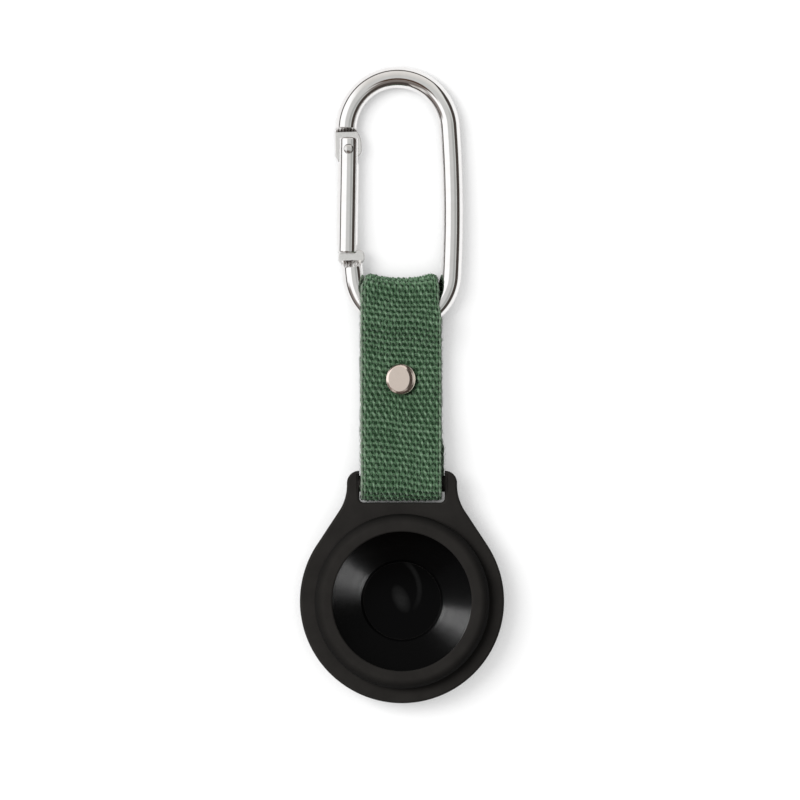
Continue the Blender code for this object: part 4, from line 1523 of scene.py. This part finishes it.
@dataclass(frozen=True)
class DoubleCapRivet:
    """Nickel rivet with a domed cap on the front and on the back of the strap.

    Each ring of a cap has its half length across and along, its middle across, its height on the left, and how
    much lower it lies on the right, because the cap was pressed crooked.
    """

    strap: WebbingStrap = WebbingStrap()
    seat_drop: float = 0.05 * MM
    sag: float = 0.03 * MM
    face: tuple[float, ...] = (2.07 * MM, 2.52 * MM, -0.42 * MM, 1.45 * MM, 0.0)
    shoulder: tuple[float, ...] = (2.41 * MM, 2.70 * MM, -0.23 * MM, 1.372 * MM, 0.252 * MM)
    brim: tuple[float, ...] = (2.90 * MM, 3.00 * MM, -0.04 * MM, 1.17 * MM, 0.69 * MM)
    wall: tuple[float, ...] = (2.96 * MM, 3.05 * MM, 0.0, 0.80 * MM, 0.70 * MM)
    seat: tuple[float, ...] = (2.92 * MM, 2.92 * MM, 0.0, 0.0, 0.0)
    slump: float = 3.5
    rings: int = 65
    rounding: int = 7
    face_rings: int = 12
    sides: int = 96

    def cap_mesh(self, name: str) -> bpy.types.Mesh:
        """A cap: a flat face, a shoulder, a brim and a wall, with the middle of its underside at the origin.

        Args:
            name: Name of the mesh.

        Returns:
            The mesh.
        """
        knots = np.array([self.face, self.shoulder, self.brim, self.wall, self.seat])
        rows = sampled(knots, np.linspace(0, len(knots) - 1, self.rings))
        padded = np.pad(rows, ((self.rounding // 2,) * 2, (0, 0)), "edge")
        window = np.full(self.rounding, 1 / self.rounding)
        rounded = np.stack([np.convolve(column, window, "valid") for column in padded.T], 1)
        rounded[-1] = rows[-1]
        shares = np.linspace(0.05, 0.95, self.face_rings)[:, None]
        flat = np.repeat(rounded[:1], len(shares), 0)
        flat[:, 3:4] += self.sag * (1 - shares ** 2)
        flat[:, :2] *= shares
        wide, long, middle, high, drop = np.concatenate([flat, rounded])[::-1].T[..., None]
        cosines, sines = circle(self.sides)
        low = (0.5 + 0.5 * cosines) ** self.slump
        return tube_mesh(name, np.stack([middle + wide * cosines, long * sines, high - drop * low], -1))

    def build(self, nickel: bpy.types.Material) -> None:
        """Adds both caps.

        Args:
            nickel: Finish of the caps.
        """
        over = self.strap.thickness / 2 - self.seat_drop
        for side, layers, turn in ((Side.FRONT, 0.5, 0.0), (Side.BACK, 1.5, math.pi)):
            seat = side.value * (self.strap.layer_pitch * layers + over)
            spot = Matrix.Translation((self.strap.side_shift, self.strap.rivet_reach, seat))
            at = self.strap.place.matrix() @ spot @ Matrix.Rotation(turn, 4, "X")
            name = f"{side.name.lower()}_cap"
            cap = moved(self.cap_mesh(name), at)
            Fitting("strap", "nickel", (f"rivet_{name}",)).put(name, cap, nickel, 40.0)


# Carabiner

@dataclass(frozen=True)
class CarabinerFrame:
    """Bent round wire with both ends pressed flat into tongues."""

    place: Place = Place((0.0, 22.076 * MM, 3.552 * MM), slope=0.037787, lean=math.radians(1.7))
    wire_radius: float = 2.1 * MM
    bottom_bend: float = 9.62 * MM
    top_bend: float = 10.17 * MM
    bend_distance: float = 28.28 * MM
    bow_radius: float = 235.0 * MM
    top_stretch: float = 0.02
    stretch_span: Point = (2 * MM, 8 * MM)
    tongue_thickness: float = 1.5 * MM
    tongue_edge: float = 0.22 * MM
    tongue_round: float = 0.69 * MM
    hinge_shoulder: float = 0.8 * MM
    nose_shoulder: float = 1.5 * MM
    pin_drop: float = 3.56 * MM
    pin_inset: float = 0.39 * MM
    pin_hole: float = 1.02 * MM
    tongue_reach: float = 3.5 * MM
    outer_reach: float = 2.7 * MM
    inner_reach: float = 2.6 * MM
    bulge_radius: float = 3.75 * MM
    bulge_rise: float = 1.1 * MM
    top_inner: float = 1.7 * MM
    root_inset: float = 0.3 * MM
    ear_reach: float = 2.4 * MM
    ear_inner: float = 1.6 * MM
    ear_chamfer: float = 0.6 * MM
    cam_radius: float = 1.55 * MM
    cam_drop: float = 0.2 * MM
    nose_reach: float = 4.85 * MM
    nose_flat: float = 2.9 * MM
    nose_half_width: float = 2.6 * MM
    nose_root: float = 1.7 * MM
    nose_corner: float = 1.1 * MM
    step_lift: float = 0.1 * MM
    step_inset: float = 0.03 * MM
    step_proud: float = 0.03 * MM
    flutes: int = 7
    flute_depth: float = 0.05 * MM
    # Spans across that take the painted dark reflection, and the softness of its edges.
    hinge_dark_reflection: Point = (-1.0, 1.0)
    nose_dark_reflection: Point = (-0.88, 0.0)
    dark_reflection_edge: float = 0.06
    sides: int = 64

    def bow(self) -> Point:
        """Finds the long arc that joins the two bends on the right.

        Returns:
            Its centre.
        """
        low, high = self.bow_radius - self.bottom_bend, self.bow_radius - self.top_bend
        y = (low ** 2 - high ** 2 + self.bend_distance ** 2) / (2 * self.bend_distance)
        return -math.sqrt(low ** 2 - y ** 2), y

    def nose_x(self, height: float) -> float:
        """How far out the wire's middle is on the gate's side, at a height over the bottom bend."""
        x, y = self.bow()
        return -x - math.sqrt(self.bow_radius ** 2 - (height - y) ** 2)

    def pin(self) -> Triple:
        """Place of the gate's pin."""
        return self.pin_inset - self.top_bend, self.bend_distance - self.pin_drop, 0.0

    def wire(self) -> bpy.types.Mesh:
        """The round wire, flattened at both ends to go into its tongues.

        Returns:
            The mesh.
        """
        bow_x, bow_y = self.bow()
        flat_rise = self.tongue_reach - self.pin_drop
        full = math.pi - math.asin((flat_rise + self.hinge_shoulder) / self.top_bend)
        flat = math.pi - math.asin(flat_rise / self.top_bend)
        top_angle = math.atan2(self.bend_distance - bow_y, -bow_x)
        low_angle = math.atan2(-bow_y, -bow_x)
        start = arc((0.0, self.bend_distance), self.top_bend, flat, full, 0.5)
        top = arc((0.0, self.bend_distance), self.top_bend, full, top_angle, 1.5)
        side = arc((bow_x, bow_y), self.bow_radius, top_angle, low_angle, 0.4)
        bottom = arc((0, 0), self.bottom_bend, low_angle, -math.pi - low_angle, 1.5)
        rise = np.linspace(0, 1, 16)
        round_end = self.nose_flat - self.nose_shoulder
        straight = [(self.nose_x(y), y) for y in np.linspace(bottom[-1][1], round_end, 6)]
        end = [(self.nose_x(y), y) for y in round_end + rise * self.nose_shoulder]
        points = np.array(start[:-1] + top[:-1] + side[:-1] + bottom[:-1] + straight[:-1] + end)
        over = np.maximum(points[:, 1] - self.bend_distance, 0)
        points[:, 1] += over * self.top_stretch * smooth_step(over, *self.stretch_span)
        flatness = np.zeros(len(points))
        flatness[: len(start)] = 1 - np.linspace(0, 1, len(start))
        flatness[-len(rise):] = rise
        tangent = unit(np.gradient(points, axis=0))
        across = np.stack([tangent[:, 1], -tangent[:, 0]], 1)[:, None]
        cosines, sines = circle(self.sides)
        height = self.wire_radius + (self.tongue_round - self.wire_radius) * flatness[:, None]
        breadth = self.wire_radius * (1 - 0.06 * flatness[:, None])
        plan = points[:, None] + across * (breadth * cosines)[..., None]
        return tube_mesh("wire", np.concatenate([plan, (height * sines)[..., None]], -1))

    def hinge_outline(self) -> list[Point]:
        """Pressed tongue round the pin: a stop ear on the outer side and a cam on the inner side.

        Returns:
            Its points.
        """
        cam = (self.inner_reach - self.cam_radius, -self.cam_drop)
        bulge = (self.inner_reach - self.bulge_radius, self.bulge_rise)
        end = math.acos((self.top_inner - bulge[0]) / self.bulge_radius)
        root = self.tongue_reach + self.hinge_shoulder
        return [
            (-self.outer_reach + self.root_inset, root),
            (-self.outer_reach, self.tongue_reach),
            (-self.outer_reach, -self.ear_reach + 2 * self.ear_chamfer),
            (-self.outer_reach + self.ear_chamfer, -self.ear_reach),
            (-self.ear_inner, -self.ear_reach),
            (-self.ear_inner, cam[1] - self.cam_radius),
            *arc(cam, self.cam_radius, -QUARTER, 0, 6),
            *arc(bulge, self.bulge_radius, 0, end, 3),
            (self.top_inner, root),
        ]

    def nose_outline(self) -> list[Point]:
        """Pressed tongue at the nose.

        Returns:
            Its points.
        """
        top = self.nose_reach - self.nose_flat
        corner = (self.nose_half_width - self.nose_corner, top - self.nose_corner)
        right = [
            (self.nose_root, -self.nose_shoulder),
            (self.nose_half_width, 0),
            *arc(corner, self.nose_corner, 0, QUARTER, 6),
        ]
        return right + [(-x, y) for x, y in reversed(right)]

    def tongue(self, name: str, outline: Sequence[Point], at: Triple) -> bpy.types.Mesh:
        """A pressed tongue at its place in the frame."""
        plate = plate_mesh(name, [outline], self.tongue_thickness, self.tongue_edge)
        return moved(plate, Matrix.Translation(at))

    def step_mesh(self, name: str, far: float, near: float, middle: float, mirrors_dark: Point) -> bpy.types.Mesh:
        """Fluted step that a press leaves between the round wire and its flat tongue.

        Args:
            name: Name of the mesh.
            far: Height in the frame at which the step meets the round wire.
            near: Height at which it meets the tongue.
            middle: Middle of the wire across.
            mirrors_dark: Span across, as shares of the half width, that takes the painted dark brown reflection.

        Returns:
            The mesh, with its share of painted dark reflection at each point.
        """
        share = np.linspace(-1, 1, 61)
        down = np.linspace(0, 1, 9)[:, None]
        across = share * self.wire_radius * (0.90 + 0.09 * down)
        round_top = np.sqrt(np.maximum(self.wire_radius ** 2 - across ** 2, 0))
        flat_top = np.maximum(self.tongue_thickness / 2 + self.step_proud, 0.55 * round_top * (1 - down))
        ripple = np.cos(math.pi * self.flutes * share)
        flute = self.flute_depth * ripple * np.sin(math.pi * np.minimum(down * 1.2, 1))
        top = round_top + (flat_top - round_top) * down + flute
        upper = np.stack([middle + across, np.broadcast_to(far + (near - far) * down, top.shape), top], -1)
        soft = self.dark_reflection_edge
        inside = smooth_step(share, mirrors_dark[0] - soft, mirrors_dark[0] + soft)
        inside = inside * smooth_step(-share, -mirrors_dark[1] - soft, -mirrors_dark[1] + soft)
        # Painted reflection: dark brown stripes along the flutes, stronger towards the tongue.
        dark_reflection = inside * (0.62 - 0.38 * ripple) * (0.35 + 0.65 * smooth_step(down, 0.15, 0.6))
        mesh = tube_mesh(name, np.concatenate([upper, (upper * (1, 1, -1))[:, ::-1]], 1))
        values = np.concatenate([dark_reflection, dark_reflection[:, ::-1]], 1).astype(np.float32).ravel()
        mesh.attributes.new("dark_reflection", "FLOAT", "POINT").data.foreach_set("value", values)
        return mesh

    def build(self, chrome: bpy.types.Material, pressed: bpy.types.Material) -> None:
        """Adds the frame and the two pressed steps beside its tongues.

        Args:
            chrome: Finish of the wire.
            pressed: Finish of the tongues and of the steps.
        """
        round_end = self.nose_flat - self.nose_shoulder
        hinge = self.tongue("hinge", self.hinge_outline(), self.pin())
        nose = self.tongue("nose", self.nose_outline(), (self.nose_x(self.nose_flat), self.nose_flat, 0))
        hole = moved(rod_mesh("hole", self.pin_hole, 4 * MM), Matrix.Translation(self.pin()))
        mesh = combined(self.wire(), {Join.ADD: [hinge, nose], Join.CUT: [hole]})
        half = self.tongue_thickness / 2
        flat = [
            abs(face.normal.z) > 0.99 and 0.98 < abs(face.center.z) / half < 1.02
            for face in mesh.polygons
        ]
        at = self.place.matrix()
        frame_fitting = Fitting("carabiner", "chrome", ("carabiner_frame",))
        piece = frame_fitting.put("wire_frame", moved(mesh, at), chrome, 40.0)
        piece.data.materials.append(pressed)
        piece.data.polygons.foreach_set("material_index", np.array(flat, dtype=np.int32))
        root = self.pin()[1] + self.tongue_reach - self.step_lift
        step = Fitting("carabiner", "chrome")
        for name, *sizes in (
            ("hinge_step", root + self.hinge_shoulder, root, self.step_inset - self.top_bend, self.hinge_dark_reflection),
            ("nose_step", round_end, self.nose_flat - self.step_lift, self.nose_x(round_end), self.nose_dark_reflection),
        ):
            step.put(name, moved(self.step_mesh(name, *sizes), at), pressed, 30.0)


@dataclass(frozen=True)
class Gate:
    """Tubular gate with slotted ends, on its domed pin."""

    place: Place = Place((-10.509 * MM, 46.478 * MM, 2.63 * MM), slope=0.037787, lean=math.radians(-0.9))
    radius: float = 2.1 * MM
    top: float = 2.35 * MM
    length: float = 20.512 * MM
    edge: float = 0.4 * MM
    bore_radius: float = 1.5 * MM
    bore_depth: float = 12.5 * MM
    slot_width: float = 2.1 * MM
    hinge_slot: float = 2.8 * MM
    nose_slot: float = 1.6 * MM
    overcut: float = 2 * MM
    pin_radius: float = 0.92 * MM
    pin_gap: float = 0.06 * MM
    pin_proud: float = 0.1 * MM
    pin_dome: float = 0.25 * MM

    def slot(self, name: str, inner: float, outer: float) -> bpy.types.Mesh:
        """Box that cuts a slot from an inner end out past an outer end of the tube."""
        size = (2 * self.radius + self.overcut, abs(outer - inner), self.slot_width)
        return box_mesh(name, size, (0, (inner + outer) / 2, 0))

    def build(self, chrome: bpy.types.Material, steel: bpy.types.Material) -> None:
        """Adds the gate tube and the pin.

        Args:
            chrome: Finish of the tube.
            steel: Finish of the pin.
        """
        shoulder = self.radius - self.edge
        profile = [
            (0, -self.bore_depth),
            (self.bore_radius, -self.bore_depth),
            (self.bore_radius, self.top),
            *arc((shoulder, self.top - self.edge), self.edge, QUARTER, 0, 10),
            *arc((shoulder, self.edge - self.length), self.edge, 0, -QUARTER, 10),
            (0, -self.length),
        ]
        tube = moved(turned_mesh("gate", profile, 96), Matrix.Rotation(-QUARTER, 4, "X"))
        mesh = combined(tube, {Join.CUT: [
            self.slot("top_slot", -self.hinge_slot, self.top + self.overcut),
            self.slot("low_slot", self.nose_slot - self.length, -self.length - self.overcut),
            rod_mesh("pin_hole", self.pin_radius + self.pin_gap, 2 * self.radius + self.overcut),
        ]})
        at = self.place.matrix()
        Fitting("gate", "chrome", ("gate_tube",)).put("gate_sleeve", moved(mesh, at), chrome)
        head = self.radius + self.pin_proud
        dome = [(self.pin_radius * share, head - self.pin_dome * share ** 3) for share in np.linspace(0, 1, 9)]
        pin = turned_mesh("pin", dome + [(radius, -height) for radius, height in reversed(dome)], 64)
        Fitting("gate", "steel", ("gate_pin",)).put("domed_pin", moved(pin, at), steel, 50.0)


# Studio

@dataclass(frozen=True)
class Lamp:
    """A rectangular lamp turned to the clip, at a direction and a height over the horizon in degrees."""

    name: str
    azimuth: float
    elevation: float
    distance: float
    size: Point
    power: float

    def add(self) -> bpy.types.Object:
        """Adds the lamp.

        Returns:
            The lamp.
        """
        turn, rise = math.radians(self.azimuth), math.radians(self.elevation)
        away = Vector((math.cos(turn) * math.cos(rise), math.sin(turn) * math.cos(rise), math.sin(rise)))
        data = bpy.data.lights.new(self.name, "AREA")
        data.shape = "RECTANGLE"
        data.size, data.size_y = self.size
        data.energy = self.power
        lamp = linked(bpy.data.objects.new(self.name, data))
        lamp.location = away * self.distance
        lamp.rotation_euler = away.to_track_quat("Z", "Y").to_euler()
        return lamp


@dataclass(frozen=True)
class Studio:
    """Pale table, a soft key lamp, two panels, the walls that chrome mirrors, and the camera straight above."""

    frame_width: float = 157.6 * MM
    aim: Point = (-0.394 * MM, -2.91 * MM)
    camera_height: float = 2.4
    focus_height: float = 4.0 * MM
    sensor: float = 36.0
    table_radius: float = 2.5
    table_span: Point = (-5 * MM, -0.02 * MM)
    daylight: float = 0.55
    key: Lamp = Lamp("key_lamp", 158.5, 56.0, 1.8, (0.75, 1.1), 28.5)
    panels: tuple[Lamp, ...] = (
        Lamp("left_panel", 168.0, 66.0, 1.1, (0.18, 0.46), 12.5),
        Lamp("right_panel", 329.7, 66.0, 1.1, (0.18, 0.46), 9.8),
    )
    wall_radius: float = 1.6

    def build(self) -> None:
        """Adds the studio but for its panels; its key lamp lights the clip and its shadow from the left."""
        low, high = self.table_span
        table = rod_mesh("table", self.table_radius, high - low, 128)
        self.stage_piece(moved(table, Matrix.Translation((0, 0, (low + high) / 2))), PaleTable())
        self.add_world()
        self.key.add().visible_glossy = False
        self.add_walls()
        self.add_camera()
        bpy.context.scene.view_settings.view_transform = "Standard"

    def stage_piece(self, mesh: bpy.types.Mesh, finish: Finish) -> bpy.types.Object:
        """Adds a piece of the studio.

        Args:
            mesh: Its mesh, whose name it takes.
            finish: Its finish.

        Returns:
            The piece.
        """
        mesh.materials.append(finish.make())
        piece = linked(bpy.data.objects.new(mesh.name, mesh))
        return piece

    def add_world(self) -> None:
        """Lights the room at a plain level, brighter on the key lamp's side, and shows it white."""
        world = bpy.data.worlds.new("studio")
        world.use_nodes = True
        bpy.context.scene.world = world
        recipe = Recipe(world.node_tree)
        turn = math.radians(self.key.azimuth)
        x, y, _ = recipe.parts(recipe.node("ShaderNodeTexCoord").outputs["Generated"])
        level = self.daylight * (0.62 + 0.5 * (x * math.cos(turn) + y * math.sin(turn)))
        even = recipe.node("ShaderNodeCombineXYZ", {0: level, 1: level, 2: level})
        colour = recipe.blend(recipe.seen(), even.outputs[0], (1.0, 1.0, 1.0))
        recipe.end("ShaderNodeBackground", {"Color": colour, "Strength": 1.0}, "ShaderNodeOutputWorld")

    def add_panels(self, piece: bpy.types.Object) -> None:
        """Adds the bright panels that only the turned floor of the pocket mirrors.

        Args:
            piece: That floor.
        """
        floor = bpy.data.collections.new("pocket_floor")
        floor.objects.link(piece)
        for lamp in self.panels:
            panel = lamp.add()
            panel.visible_diffuse = False
            panel.light_linking.receiver_collection = floor

    def add_walls(self) -> None:
        """Adds the studio's walls and ceiling, which only reflections show."""
        turns = np.radians(np.arange(0, 360, 5))
        rises = np.radians(np.linspace(0, 90, 31))[:-1, None]
        level = np.cos(rises)
        points = np.stack([level * np.cos(turns), level * np.sin(turns), np.sin(rises) + 0 * turns], -1)
        faces = quads_between(len(rises), len(turns)).tolist() + caps_of(len(rises), len(turns))[1:]
        mesh = bpy.data.meshes.new("studio_walls")
        mesh.from_pydata((points * self.wall_radius).reshape(-1, 3).tolist(), [], faces)
        walls = self.stage_piece(mesh, StudioWalls())
        for sight in ("camera", "diffuse", "shadow", "transmission"):
            setattr(walls, f"visible_{sight}", False)

    def add_camera(self) -> None:
        """Adds the camera, straight above the clip."""
        data = bpy.data.cameras.new("camera")
        data.sensor_width = self.sensor
        data.lens = self.sensor * (self.camera_height - self.focus_height) / self.frame_width
        camera = linked(bpy.data.objects.new("camera", data))
        camera.location = (*self.aim, self.camera_height)
        bpy.context.scene.camera = camera


def dress_nodes(finishes: Mapping[str, bpy.types.Material]) -> None:
    """Gives the nodes that stay their finish.

    Args:
        finishes: Material of each node.
    """
    for name, material in finishes.items():
        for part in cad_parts[name].material_slots:
            part.material = material
        LOG.info("%s keeps its shape", name)


def main() -> None:
    """Builds the studio and every piece of the clip, in order."""
    logging.basicConfig(level=logging.INFO, format="%(name)s: %(message)s")
    studio = Studio()
    studio.build()
    holder = TrackerHolder()
    rubber, cone, dish = (finish(holder.centre).make() for finish in (MouldedRubber, TurnedCone, PolishedDish))
    nickel = PlatedMetal("nickel_plate", (0.885, 0.765, 0.690), (0.850, 0.730, 0.655), 0.15).make()
    chrome = PlatedMetal(
        "chrome_plate", (0.86, 0.85, 0.845), (0.80, 0.785, 0.775), 0.07, dent_depth=0.0012 * MM
    ).make()
    steel = PlatedMetal("bright_steel", (0.72, 0.71, 0.70), (0.64, 0.63, 0.62), 0.16).make()
    studio.add_panels(holder.build(rubber, cone, dish))
    strap = WebbingStrap()
    strap.build(WovenCotton().make())
    DoubleCapRivet(strap).build(nickel)
    CarabinerFrame().build(chrome, PressedMetal().make())
    Gate().build(chrome, steel)
    dress_nodes({"rivet_post": nickel, "rivet_socket": nickel, "spring_plunger": steel, "gate_spring": steel})


if __name__ == "__main__":
    main()
